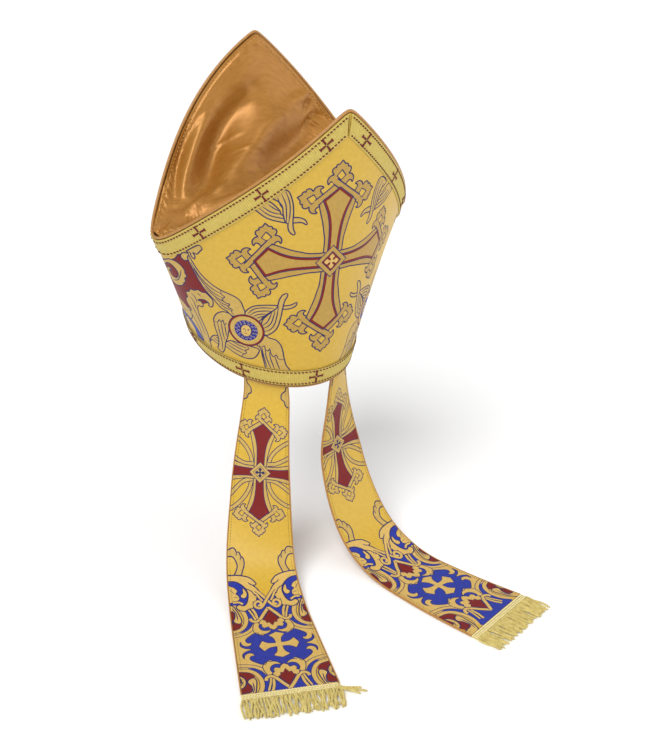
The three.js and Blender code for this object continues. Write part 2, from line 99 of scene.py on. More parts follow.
@dataclass
class CrownForm:
    """The crown's walls as a surface: a turn around the axis, a height and a distance off the face.

    Lengths are millimetres in the crown's own frame. The turn is 0 at the back, a quarter turn at
    the wearer's left and a half turn at the front.
    """

    rim_width: float = 170.0
    rim_depth: float = 221.0
    rim_side_dip: float = 5.0
    horn_height: float = 307.0
    valley_height: float = 143.0
    lean_deg: float = 15.0
    panel: float = 2.4
    piping: float = 3.0
    galloon: float = 18.8
    seam: float = 3.3
    side_seam_deg: float = 0.2
    widths: tuple[float, float, float] = (1.0, 1.78, 2.687)
    pinches: tuple[float, float, float] = (0.0, 0.62, 1.26)

    def face(self, turn: np.ndarray, z: np.ndarray) -> np.ndarray:
        """Point of the outside face at a turn and a height."""
        share = z / self.horn_height
        half_width = self.rim_width / 2 * parabola(self.widths, share)
        back = parabola(Horn.BACK.value.depths, share)
        front = parabola(Horn.FRONT.value.depths, share)
        half_depth = self.rim_depth / 2 * np.where(np.cos(turn) >= 0, back, front)
        pinch = 1 - parabola(self.pinches, share) * np.sin(turn) ** 2
        flat = np.zeros_like(share + turn)
        return np.stack([half_width * np.sin(turn), half_depth * np.cos(turn) * pinch, z + flat], -1)

    def frame(self, turn: np.ndarray, z: np.ndarray) -> tuple[np.ndarray, np.ndarray, np.ndarray]:
        """Directions along the turn and up the wall, per unit of each, and the outward normal."""
        lift = 0.01
        along = (self.face(turn + NUDGE, z) - self.face(turn - NUDGE, z)) / (2 * NUDGE)
        upward = (self.face(turn, z + lift) - self.face(turn, z - lift)) / (2 * lift)
        return along, upward, unit(np.cross(upward, along))

    def wall(self, turn: np.ndarray, z: np.ndarray, off: np.ndarray) -> np.ndarray:
        """Point at a distance outside the face, or inside where the distance is negative."""
        return self.face(turn, z) + self.frame(turn, z)[2] * np.asarray(off)[..., None]

    def rim(self, turn: np.ndarray) -> np.ndarray:
        """Height of the rim at a turn."""
        return -self.rim_side_dip * np.sin(turn) ** 2

    def edge(self, horn: Horn, turn: np.ndarray, soften: float | None = None) -> np.ndarray:
        """Height of a horn's top edge at a turn; soften blunts its peak."""
        shape = horn.value
        blunt = shape.soften if soften is None else soften
        share = np.hypot(np.sin(turn), blunt)
        rise = 1 - shape.fall * share - (1 - shape.fall) * share ** shape.bend
        return self.valley_height + (self.horn_height - self.valley_height) * rise

    def edge_slope(self, horn: Horn, turn: np.ndarray, soften: float | None = None) -> np.ndarray:
        """Rise of a horn's edge per unit of turn."""
        ahead, behind = self.edge(horn, turn + NUDGE, soften), self.edge(horn, turn - NUDGE, soften)
        return (ahead - behind) / (2 * NUDGE)

    def side_end(self) -> float:
        """Angle from the middle of a horn to its side seam, in radians."""
        return np.pi / 2 - math.radians(self.side_seam_deg)

    def below_edge(self, horn: Horn, turn: np.ndarray, distance: float) -> np.ndarray:
        """Height of the line that runs a distance below a horn's edge, square to the edge."""
        z = self.edge(horn, turn)
        along, upward, _ = self.frame(turn, z)
        tangent = unit(along + upward * self.edge_slope(horn, turn)[..., None])
        rise = np.linalg.norm(upward, axis=-1)
        share = np.sum(tangent * upward, axis=-1) / rise
        return z - distance / np.sqrt(1 - share ** 2) / rise

    def lean(self, points: np.ndarray) -> np.ndarray:
        """Turns crown points into the row frame, in metres."""
        tilt = math.radians(self.lean_deg)
        x, y, z = points[..., 0], points[..., 1], points[..., 2]
        back = y * math.cos(tilt) + z * math.sin(tilt)
        height = z * math.cos(tilt) - y * math.sin(tilt)
        return np.stack([x, back, height], -1) * MM


FORM = CrownForm()


def horn_turn(horn: Horn, angle: np.ndarray) -> np.ndarray:
    """Turn around the axis of an angle counted from the middle of a horn towards the left."""
    return np.pi - angle if horn.value.turned else angle


class HornDrape:
    """Lays flat cloth on a horn: x is the length across from its middle, y the height."""

    def __init__(self, horn: Horn) -> None:
        """Works out how far across each angle lies at each height."""
        self.horn = horn
        self.heights = np.linspace(-10.0, FORM.horn_height, 96)
        angles = np.linspace(-np.pi / 2, np.pi / 2, 721)
        reach = []
        for height in self.heights:
            line = FORM.face(horn_turn(horn, angles), np.full_like(angles, height))
            length = run_length(line)
            reach.append(length - np.interp(0.0, angles, length))
        self.reach = np.array(reach)
        self.spread = np.linspace(self.reach.min(), self.reach.max(), 801)
        self.angles = np.array([np.interp(self.spread, row, angles) for row in self.reach])
        self.columns = angles

    def across(self, angle: np.ndarray, height: np.ndarray) -> np.ndarray:
        """Length across from the middle at an angle and a height."""
        return grid_value(self.reach, self.heights, self.columns, height, angle)

    def angle(self, across: np.ndarray, height: np.ndarray) -> np.ndarray:
        """Angle from the middle at a length across and a height."""
        return grid_value(self.angles, self.heights, self.spread, height, across)

    def place(self, flat: np.ndarray) -> np.ndarray:
        """Row-frame points of flat points: across, height and distance off the face."""
        angle = self.angle(flat[:, 0], flat[:, 1])
        return FORM.lean(FORM.wall(horn_turn(self.horn, angle), flat[:, 1], flat[:, 2]))


def grid_value(table: np.ndarray, rows: np.ndarray, columns: np.ndarray,
               row: np.ndarray, column: np.ndarray) -> np.ndarray:
    """Value of an even table between its rows and columns, taken in straight lines."""
    i = np.clip((row - rows[0]) / (rows[1] - rows[0]), 0, len(rows) - 1.001)
    j = np.clip((column - columns[0]) / (columns[1] - columns[0]), 0, len(columns) - 1.001)
    low_i, low_j = i.astype(int), j.astype(int)
    di, dj = i - low_i, j - low_j
    upper = table[low_i, low_j] * (1 - dj) + table[low_i, low_j + 1] * dj
    lower = table[low_i + 1, low_j] * (1 - dj) + table[low_i + 1, low_j + 1] * dj
    return upper * (1 - di) + lower * di


class EdgeDrape:
    """Lays a band along a horn's edge: x is the length from the peak towards the wearer's left,
    y the distance below the edge and z the distance off the face."""

    sharp_peak = 0.002

    def __init__(self, horn: Horn) -> None:
        """Measures the edge's length from the peak."""
        self.horn = horn
        self.angles = np.linspace(-FORM.side_end(), FORM.side_end(), 1601)
        turns = horn_turn(horn, self.angles)
        length = run_length(FORM.face(turns, FORM.edge(horn, turns)))
        self.lengths = length - np.interp(0.0, self.angles, length)

    @property
    def reach(self) -> float:
        """Length of the edge from the peak to the side seam."""
        return float(self.lengths[-1])

    def spot(self, flat: np.ndarray, sharp: bool) -> tuple[np.ndarray, np.ndarray]:
        """Turn and height of band points, with the peak left blunt or nearly sharp."""
        angle = np.interp(flat[:, 0], self.lengths, self.angles)
        turn = horn_turn(self.horn, angle)
        soften = self.sharp_peak if sharp else None
        z = FORM.edge(self.horn, turn, soften)
        along, upward, normal = FORM.frame(turn, z)
        tangent = unit(along + upward * FORM.edge_slope(self.horn, turn, soften)[:, None])
        down = np.cross(tangent, normal)
        down *= -np.sign(np.sum(down * upward, axis=1, keepdims=True))
        aa, uu, au = (np.sum(a * b, axis=1) for a, b in ((along, along), (upward, upward), (along, upward)))
        da, du = np.sum(down * along, axis=1), np.sum(down * upward, axis=1)
        spread = aa * uu - au ** 2
        turn_step = (da * uu - du * au) / spread
        rise_step = (du * aa - da * au) / spread
        return turn + turn_step * flat[:, 1], z + rise_step * flat[:, 1]

    def place(self, flat: np.ndarray) -> np.ndarray:
        """Row-frame points of band points."""
        turn, z = self.spot(flat, False)
        return FORM.lean(FORM.wall(turn, z, flat[:, 2]))


class RimDrape:
    """Lays a band round the rim: x is the length from the middle of the back, y the height above
    the rim and z the distance off the face."""

    def __init__(self) -> None:
        """Measures the rim's length round the head."""
        self.turns = np.linspace(-np.pi, np.pi, 2881)
        length = run_length(FORM.face(self.turns, FORM.rim(self.turns) + FORM.galloon / 2))
        self.lengths = length - np.interp(0.0, self.turns, length)

    def place(self, flat: np.ndarray) -> np.ndarray:
        """Row-frame points of band points."""
        turn = np.interp(flat[:, 0], self.lengths, self.turns)
        return FORM.lean(FORM.wall(turn, FORM.rim(turn) + flat[:, 1], flat[:, 2]))


@dataclass(frozen=True)
class Station:
    """How a lappet lies at a share of its length: its climb and its heading, in degrees."""

    along: float
    angle: float


def smooth_read(rows: Sequence[Station], at: np.ndarray) -> np.ndarray:
    """Smooth value of a table: a cubic through its rows that never overshoots them."""
    x = np.array([row.along for row in rows])
    y = np.array([row.angle for row in rows])
    step = np.diff(x)
    slope = np.diff(y) / step
    tangent = np.zeros_like(y)
    tangent[0], tangent[-1] = slope[0], slope[-1]
    for i in range(1, len(x) - 1):
        if slope[i - 1] * slope[i] > 0:
            before = 2 * step[i] + step[i - 1]
            after = step[i] + 2 * step[i - 1]
            tangent[i] = (before + after) / (before / slope[i - 1] + after / slope[i])
    cell = np.clip(np.searchsorted(x, at, side="right") - 1, 0, len(step) - 1)
    t = np.clip((at - x[cell]) / step[cell], 0, 1)
    start = y[cell] * (1 + 2 * t) * (1 - t) ** 2 + tangent[cell] * step[cell] * t * (1 - t) ** 2
    end = y[cell + 1] * t ** 2 * (3 - 2 * t) - tangent[cell + 1] * step[cell] * t ** 2 * (1 - t)
    return start + end


@dataclass(frozen=True)
class LappetLay:
    """One lappet's side of the head, how it hangs, and how its cloth lies across its form."""

    name: str
    hand: int
    aside: float
    narrowed: float
    inclines: tuple[Station, ...]
    headings: tuple[Station, ...]


def stations(*pairs: tuple[float, float]) -> tuple[Station, ...]:
    """Rows of a lay from pairs of share and angle."""
    return tuple(Station(*pair) for pair in pairs)


LAYS = (
    LappetLay("left", 1, aside=-7.6, narrowed=0.96,
              inclines=stations((0, -100), (0.07, -77), (0.15, -72), (0.3, -79), (0.45, -61.5),
                                (0.6, -18), (0.75, 0), (1, 0)),
              headings=stations((0, 49), (0.3, 40), (0.6, 20), (1, 19))),
    LappetLay("right", -1, aside=0.4, narrowed=0.975,
              inclines=stations((0, -97), (0.07, -92), (0.15, -91), (0.3, -74), (0.45, -55),
                                (0.6, -20), (0.75, 0), (1, 0)),
              headings=stations((0, -27), (0.3, -15), (0.6, -11), (1, -19.5))),
)


@dataclass
class LappetForm:
    """Sizes of a lappet, millimetres."""

    length: float = 382.0
    top_width: float = 51.0
    end_width: float = 94.5
    offset: float = 45.5
    tuck: float = 12.0
    flattened_by: float = 110.0
    thickness: float = 2.1
    layer: float = 0.9
    binding: float = 1.5
    gap: float = 0.3

    def half_width(self, down: np.ndarray) -> np.ndarray:
        """Half of the brocade's width at a distance from the rim."""
        share = np.clip(np.asarray(down) / self.length, 0, 1)
        return (self.top_width + (self.end_width - self.top_width) * share) / 2


LAPPET = LappetForm()


class LappetDrape:
    """Hangs flat cloth as a lappet: x is the distance to the right of its middle as seen from
    behind, y the distance down from the rim and z the distance above its middle layer."""

    def __init__(self, lay: LappetLay) -> None:
        """Walks the lappet's middle line from the rim outwards in the part's own steps."""
        self.lay = lay
        count = 24
        step = LAPPET.length / (count - 1)
        self.distance = np.arange(count) * step
        middle = self.directions((np.arange(count - 1) + 0.5) / (count - 1))[0]
        self.start = self.rim_inside(np.zeros(1), np.zeros(1))[0]
        self.line = self.start + np.concatenate([np.zeros((1, 3)), np.cumsum(middle * step, axis=0)])
        self.knots = np.gradient(self.line, self.distance, axis=0)

    def directions(self, along: np.ndarray) -> tuple[np.ndarray, np.ndarray]:
        """Directions ahead and crosswise at shares of the length."""
        climb = np.radians(smooth_read(self.lay.inclines, along))
        heading = np.radians(smooth_read(self.lay.headings, along))
        ahead = np.stack([np.sin(heading) * np.cos(climb), np.cos(heading) * np.cos(climb),
                          np.sin(climb)], -1)
        return ahead, np.stack([np.cos(heading), -np.sin(heading), np.zeros_like(heading)], -1)

    def rim_inside(self, crosswise: np.ndarray, above: np.ndarray) -> np.ndarray:
        """Points on the inside of the back rim, in millimetres of the row frame."""
        depth = LAPPET.thickness / 2 + LAPPET.gap + FORM.panel / 2 + FORM.piping / 2
        angle = np.full_like(crosswise, self.lay.hand * math.asin(LAPPET.offset / (FORM.rim_width / 2)))
        level = np.zeros_like(angle)
        steps, nudge = 8, 1e-3
        for _ in range(steps):
            ahead = FORM.face(angle + nudge, level) - FORM.face(angle, level)
            angle = angle + crosswise / steps / (np.linalg.norm(ahead, axis=-1) / nudge)
        z = FORM.rim(angle) + above
        return FORM.lean(FORM.wall(angle, z, np.full_like(z, -depth))) / MM

    def middle_line(self, down: np.ndarray) -> np.ndarray:
        """Points of the middle line at distances from the rim."""
        step = self.distance[1]
        cell = np.clip((down / step).astype(int), 0, len(self.distance) - 2)
        t = np.clip(down / step - cell, 0, 1)[:, None]
        p0, p1 = self.line[cell], self.line[cell + 1]
        m0, m1 = self.knots[cell] * step, self.knots[cell + 1] * step
        return (p0 * (1 + 2 * t) * (1 - t) ** 2 + m0 * t * (1 - t) ** 2
                + p1 * t ** 2 * (3 - 2 * t) - m1 * t ** 2 * (1 - t))

    def middle(self, x: np.ndarray, y: np.ndarray) -> np.ndarray:
        """Points of the middle layer, in millimetres of the row frame."""
        reach = -x
        down = np.clip(y, 0, LAPPET.length)
        point = self.middle_line(down)
        crosswise = self.directions(down / LAPPET.length)[1]
        share = np.clip(down / LAPPET.flattened_by, 0, 1)
        flatness = (share * share * (3 - 2 * share))[:, None]
        bent = self.rim_inside(reach, np.clip(-y, 0, None)) + point - self.start
        ahead = self.directions(np.ones(1))[0]
        over = np.clip(y - LAPPET.length, 0, None)[:, None] * ahead
        return bent * (1 - flatness) + (point + crosswise * reach[:, None]) * flatness + over

    def place(self, flat: np.ndarray) -> np.ndarray:
        """Row-frame points of flat points."""
        x, y, z = flat[:, 0] * self.lay.narrowed + self.lay.aside, flat[:, 1], flat[:, 2]
        aside, ahead = 0.05, 0.6
        side = self.middle(x - aside, y) - self.middle(x + aside, y)
        after = self.middle(x, y + ahead) - self.middle(x, y - ahead)
        return (self.middle(x, y) + unit(np.cross(side, after)) * z[:, None]) * MM


def mesh_object(name: str, bm: bmesh.types.BMesh) -> bpy.types.Object:
    """Turns a bmesh into an object in the scene and frees the bmesh."""
    mesh = bpy.data.meshes.new(name)
    bm.to_mesh(mesh)
    bm.free()
    piece = bpy.data.objects.new(name, mesh)
    bpy.context.scene.collection.objects.link(piece)
    return piece


def coordinates(mesh: bpy.types.Mesh) -> np.ndarray:
    """Vertex positions of a mesh as an array."""
    points = np.empty(len(mesh.vertices) * 3)
    mesh.vertices.foreach_get("co", points)
    return points.reshape(-1, 3)


def face_outwards(mesh: bpy.types.Mesh) -> None:
    """Turns a closed mesh's faces outwards where they point in."""
    mesh.calc_loop_triangles()
    corners = np.empty(len(mesh.loop_triangles) * 3, dtype=np.int32)
    mesh.loop_triangles.foreach_get("vertices", corners)
    a, b, c = coordinates(mesh)[corners.reshape(-1, 3)].transpose(1, 0, 2)
    if np.sum(a * np.cross(b, c)) < 0:
        mesh.flip_normals()


def dress(piece: bpy.types.Object, finishes: Sequence[bpy.types.Material],
          place: Placer | None = None) -> None:
    """Drapes a piece's points, turns its faces outwards, gives it materials and shades it smooth."""
    mesh = piece.data
    if place is not None:
        mesh.vertices.foreach_set("co", place(coordinates(mesh)).ravel())
    face_outwards(mesh)
    for finish in finishes:
        mesh.materials.append(finish)
    mesh.shade_smooth()
    mesh.update()


def lay_maps(mesh: bpy.types.Mesh, thickness: float) -> None:
    """Gives a flat-cut mesh its two maps before it is draped.

    The map Cloth holds the flat place in units of 0.1 m, for weave and thread; OFBake holds the
    same place in a square, the upper side below and the lower side above it.

    Args:
        mesh: the mesh, still flat, in millimetres.
        thickness: how thick the cloth is, as a margin for its side walls.
    """
    points = coordinates(mesh)
    low, high = points.min(axis=0), points.max(axis=0)
    reach = (high - low)[:2] + 4 * thickness
    count = len(mesh.loops)
    vertex = np.empty(count, dtype=np.int32)
    mesh.loops.foreach_get("vertex_index", vertex)
    starts = np.empty(len(mesh.polygons), dtype=np.int32)
    totals = np.empty(len(mesh.polygons), dtype=np.int32)
    mesh.polygons.foreach_get("loop_start", starts)
    mesh.polygons.foreach_get("loop_total", totals)
    normals = np.empty(len(mesh.polygons) * 3)
    mesh.polygons.foreach_get("normal", normals)
    face = np.repeat(np.arange(len(totals)), totals)
    normal = normals.reshape(-1, 3)[face]
    spot = points[vertex]
    upright = 0.3
    side = np.abs(normal[:, 2]) < upright
    below = normal[:, 2] < -upright
    depth = (high[2] - spot[:, 2])[:, None] * side[:, None]
    flat = spot[:, :2] + normal[:, :2] * depth
    cloth = mesh.uv_layers.new(name="Cloth")
    cloth.data.foreach_set("uv", (flat / 100).ravel())
    share = (flat - low[:2] + 2 * thickness) / reach
    share[:, 1] = np.where(below, 0.51 + 0.48 * share[:, 1], 0.01 + 0.48 * share[:, 1])
    share[:, 0] = 0.01 + 0.98 * share[:, 0]
    baked = mesh.uv_layers.new(name="OFBake")
    baked.data.foreach_set("uv", share.ravel())


@dataclass
class FlatCloth:
    """Cloth that is cut and stitched flat in a bmesh, in millimetres, and then draped."""

    name: str
    bm: bmesh.types.BMesh = field(default_factory=bmesh.new)

    def strip(self, low: tuple[float, float], high: tuple[float, float], cells: tuple[int, int]) -> None:
        """Adds a level rectangle of quads.

        Args:
            low: its lowest x and y.
            high: its highest x and y.
            cells: how many quads across x and y.
        """
        made = bmesh.ops.create_grid(self.bm, x_segments=cells[0], y_segments=cells[1], size=0.5)
        size = (high[0] - low[0], high[1] - low[1])
        for vert in made["verts"]:
            vert.co.x = low[0] + (vert.co.x + 0.5) * size[0]
            vert.co.y = low[1] + (vert.co.y + 0.5) * size[1]

    def reshape(self, change: Callable[[np.ndarray], np.ndarray]) -> None:
        """Moves every vertex by a function of all their places."""
        verts = list(self.bm.verts)
        spots = change(np.array([vert.co[:] for vert in verts]))
        for vert, spot in zip(verts, spots):
            vert.co = spot

    def thicken(self, thickness: float) -> None:
        """Gives the cut its thickness downwards, with walls at its edges."""
        made = bmesh.ops.extrude_face_region(self.bm, geom=self.bm.faces[:], use_keep_orig=True)
        lower = [item for item in made["geom"] if isinstance(item, bmesh.types.BMVert)]
        bmesh.ops.translate(self.bm, verts=lower, vec=(0, 0, -thickness))
        bmesh.ops.recalc_face_normals(self.bm, faces=self.bm.faces[:])

    def drape(self, place: Placer, finishes: Sequence[bpy.types.Material], thickness: float = 1.0,
              sharp_deg: float = 50.0) -> bpy.types.Object:
        """Lays the cut on its form and dresses it.

        Args:
            place: turns flat places into row-frame points.
            finishes: the materials, in the order of the faces' indices.
            thickness: the cloth's thickness, for its maps.
            sharp_deg: an edge turned more than this stays crisp.

        Returns:
            The draped piece.
        """
        piece = mesh_object(self.name, self.bm)
        lay_maps(piece.data, thickness)
        dress(piece, finishes, place)
        piece.data.set_sharp_from_angle(angle=math.radians(sharp_deg))
        piece.data.update()
        return piece


def add_roll(bm: bmesh.types.BMesh, path: np.ndarray, radius: np.ndarray, sides: int,
             finish: int = 0, flatten: float = 1.0) -> None:
    """Adds a round strand along a path, with ends that close in a point.

    Args:
        bm: where it goes.
        path: its centre line, one row a station.
        radius: its radius at each station.
        sides: how many faces go round it.
        finish: index of its material.
        flatten: its height over its width.
    """
    count = len(path)
    ahead = unit(np.gradient(path, axis=0), SOFT_ZERO)
    side = np.cross(ahead, [0.0, 0.0, 1.0])
    weak = np.linalg.norm(side, axis=1) < 1e-3
    side[weak] = np.cross(ahead[weak], [1.0, 0.0, 0.0])
    side = unit(side, SOFT_ZERO)
    rise = np.cross(side, ahead)
    made = bmesh.ops.create_grid(bm, x_segments=sides, y_segments=count - 1, size=0.5)["verts"]
    turn = np.arange(sides + 1) * 2 * math.pi / sides
    ring = radius[:, None, None] * (side[:, None] * np.cos(turn)[None, :, None]
                                    + rise[:, None] * (flatten * np.sin(turn))[None, :, None])
    spots = (path[:, None] + ring).reshape(-1, 3)
    for vert, spot in zip(made, spots):
        vert.co = spot
    for face in {face for vert in made for face in vert.link_faces}:
        face.material_index = finish
        face.smooth = True


def close_rolls(bm: bmesh.types.BMesh) -> None:
    """Welds the seams and ends of strands and turns them outwards."""
    bmesh.ops.remove_doubles(bm, verts=bm.verts[:], dist=1e-4)
    bmesh.ops.recalc_face_normals(bm, faces=bm.faces[:])


def rounded(count: int) -> np.ndarray:
    """Shares of the full radius along a strand with rounded, closed ends."""
    share = np.ones(count)
    share[0] = share[-1] = 0.0
    share[1] = share[-2] = 0.72
    return share


class Cloth(Enum):
    """Threads of the brocade, in the order that their material indices take."""

    GROUND = 0
    GOLD = 1
    TAN = 2
    MAROON = 3
    NAVY = 4
    BLUE = 5
    PALE = 6
    BACKING = 7


def math_node(tree: bpy.types.NodeTree, operation: str, *values: object) -> bpy.types.NodeSocket:
    """Adds a math node whose inputs are numbers or sockets and returns its output."""
    node = tree.nodes.new("ShaderNodeMath")
    node.operation = operation
    for socket, value in zip(node.inputs, values):
        if isinstance(value, bpy.types.NodeSocket):
            tree.links.new(value, socket)
        else:
            socket.default_value = value
    return node.outputs[0]


def noise_node(tree: bpy.types.NodeTree, place: bpy.types.NodeSocket, scale: float,
               detail: float) -> bpy.types.NodeSocket:
    """Adds noise over a cloth place and returns its output."""
    noise = tree.nodes.new("ShaderNodeTexNoise")
    noise.inputs["Scale"].default_value = scale
    noise.inputs["Detail"].default_value = detail
    tree.links.new(place, noise.inputs["Vector"])
    return noise.outputs["Fac"]


@dataclass(frozen=True)
class WeaveGroup:
    """Node group that turns a cloth place into its weave's height and a shade that follows it: painted shade
    for the weave's low places, with random fluff.
    """

    name: str = "Weave"

    def build(self) -> bpy.types.NodeTree:
        """Makes the group once.

        Returns:
            The node group.
        """
        group = bpy.data.node_groups.get(self.name)
        if group is not None:
            return group
        group = bpy.data.node_groups.new(self.name, "ShaderNodeTree")
        face = group.interface
        face.new_socket("Place", in_out="INPUT", socket_type="NodeSocketVector")
        for name, value in (("Warp", 300.0), ("Weft", 300.0), ("Twill", 0.0), ("Rough", 0.3)):
            socket = face.new_socket(name, in_out="INPUT", socket_type="NodeSocketFloat")
            socket.default_value = value
        face.new_socket("Height", in_out="OUTPUT", socket_type="NodeSocketFloat")
        face.new_socket("Shade", in_out="OUTPUT", socket_type="NodeSocketFloat")
        nodes, links = group.nodes, group.links
        start, end = nodes.new("NodeGroupInput"), nodes.new("NodeGroupOutput")
        split = nodes.new("ShaderNodeSeparateXYZ")
        links.new(start.outputs["Place"], split.inputs[0])
        warp = math_node(group, "MULTIPLY", split.outputs["X"], start.outputs["Warp"])
        weft = math_node(group, "MULTIPLY", split.outputs["Y"], start.outputs["Weft"])
        slanted = math_node(group, "ADD", warp, math_node(group, "MULTIPLY", weft, start.outputs["Twill"]))
        wave_x = math_node(group, "SINE", math_node(group, "MULTIPLY", slanted, math.tau))
        wave_y = math_node(group, "SINE", math_node(group, "MULTIPLY", weft, math.tau))
        woven = math_node(group, "ADD", wave_x, math_node(group, "MULTIPLY", wave_y, 0.45))
        noise = noise_node(group, start.outputs["Place"], 130.0, 3.0)
        fluff = math_node(group, "MULTIPLY", math_node(group, "SUBTRACT", noise, 0.5), start.outputs["Rough"])
        links.new(math_node(group, "MULTIPLY_ADD", woven, 0.5, fluff), end.inputs["Height"])
        shade = math_node(group, "MULTIPLY_ADD", woven, 0.25, math_node(group, "ADD", fluff, 0.5))
        links.new(shade, end.inputs["Shade"])
        return group


@dataclass(frozen=True)
class ToneGroup:
    """Node group that varies a colour over a cloth: broad handling marks, and painted shade that darkens the
    weave's low places.
    """

    name: str = "Cloth tone"

    def build(self) -> bpy.types.NodeTree:
        """Makes the group once.

        Returns:
            The node group.
        """
        group = bpy.data.node_groups.get(self.name)
        if group is not None:
            return group
        group = bpy.data.node_groups.new(self.name, "ShaderNodeTree")
        face = group.interface
        face.new_socket("Place", in_out="INPUT", socket_type="NodeSocketVector")
        face.new_socket("Colour", in_out="INPUT", socket_type="NodeSocketColor")
        face.new_socket("Deep", in_out="INPUT", socket_type="NodeSocketColor")
        for name, value in (("Shade", 0.5), ("Broad", 0.3), ("Painted_shade", 0.3)):
            socket = face.new_socket(name, in_out="INPUT", socket_type="NodeSocketFloat")
            socket.default_value = value
        face.new_socket("Colour", in_out="OUTPUT", socket_type="NodeSocketColor")
        nodes, links = group.nodes, group.links
        start, end = nodes.new("NodeGroupInput"), nodes.new("NodeGroupOutput")
        spread = nodes.new("ShaderNodeMapRange")
        spread.inputs["From Min"].default_value = 0.3
        spread.inputs["From Max"].default_value = 0.75
        links.new(noise_node(group, start.outputs["Place"], 22.0, 4.0), spread.inputs["Value"])
        broad = math_node(group, "MULTIPLY", spread.outputs["Result"], start.outputs["Broad"])
        # Painted shade: the weave's low places are mixed towards the deep colour.
        painted_weave_shade = math_node(group, "SUBTRACT", 1.0, start.outputs["Shade"])
        thread = math_node(group, "MULTIPLY_ADD", painted_weave_shade, start.outputs["Painted_shade"], broad)
        thread.node.use_clamp = True
        mix = nodes.new("ShaderNodeMix")
        mix.data_type = "RGBA"
        links.new(thread, mix.inputs["Factor"])
        links.new(start.outputs["Colour"], mix.inputs["A"])
        links.new(start.outputs["Deep"], mix.inputs["B"])
        links.new(mix.outputs["Result"], end.inputs["Colour"])
        return group


def linear(rgb: tuple[int, int, int]) -> tuple[float, float, float, float]:
    """A colour of the paint book, 0 to 255, as the shader's own numbers."""
    shares = (value / 255 for value in rgb)
    return (*(s / 12.92 if s <= 0.04045 else ((s + 0.055) / 1.055) ** 2.4 for s in shares), 1.0)


@dataclass(frozen=True)
class Finish:
    """A cloth or thread finish: colours 0 to 255, weave counts per 0.1 m and shine."""

    name: str
    colour: tuple[int, int, int]
    # deep is mixed in at random broad patches and, as painted shade, in the weave's low places.
    deep: tuple[int, int, int]
    warp: float = 300.0
    weft: float = 300.0
    twill: float = 0.0
    bump: float = 0.25
    bump_mm: float = 0.08
    roughness: float = 0.5
    metallic: float = 0.0
    sheen: float = 0.2
    specular: float = 0.4
    anisotropic: float = 0.0
    broad: float = 0.25
    # thread sets how strongly the weave's low places are darkened: painted shade.
    thread: float = 0.4
    rough: float = 0.4
    on_object: bool = False

    def material(self) -> bpy.types.Material:
        """Makes the material, or finds it where it has been made.

        Returns:
            The material.
        """
        made = bpy.data.materials.get(self.name)
        if made is not None:
            return made
        made = bpy.data.materials.new(self.name)
        made.use_nodes = True
        nodes, links = made.node_tree.nodes, made.node_tree.links
        shader = nodes["Principled BSDF"]
        if self.on_object:
            place = nodes.new("ShaderNodeTexCoord").outputs["Object"]
            scaled = nodes.new("ShaderNodeMapping")
            scaled.inputs["Scale"].default_value = (10, 10, 10)
            links.new(place, scaled.inputs["Vector"])
            place = scaled.outputs["Vector"]
        else:
            uv = nodes.new("ShaderNodeUVMap")
            uv.uv_map = "Cloth"
            place = uv.outputs["UV"]
        weave = nodes.new("ShaderNodeGroup")
        weave.node_tree = WeaveGroup().build()
        tone = nodes.new("ShaderNodeGroup")
        tone.node_tree = ToneGroup().build()
        links.new(place, weave.inputs["Place"])
        links.new(place, tone.inputs["Place"])
        bump = nodes.new("ShaderNodeBump")
        settings = (
            (weave, {"Warp": self.warp, "Weft": self.weft, "Twill": self.twill, "Rough": self.rough}),
            (tone, {"Colour": linear(self.colour), "Deep": linear(self.deep), "Broad": self.broad,
                    "Painted_shade": self.thread}),
            (bump, {"Strength": self.bump, "Distance": self.bump_mm * MM}),
            (shader, {"Roughness": self.roughness, "Metallic": self.metallic,
                      "Specular IOR Level": self.specular, "Anisotropic": self.anisotropic,
                      "Sheen Weight": self.sheen, "Sheen Roughness": 0.4}),
        )
        for node, values in settings:
            for name, value in values.items():
                node.inputs[name].default_value = value
        links.new(weave.outputs["Shade"], tone.inputs["Shade"])
        links.new(tone.outputs["Colour"], shader.inputs["Base Color"])
        links.new(weave.outputs["Height"], bump.inputs["Height"])
        links.new(bump.outputs["Normal"], shader.inputs["Normal"])
        return made


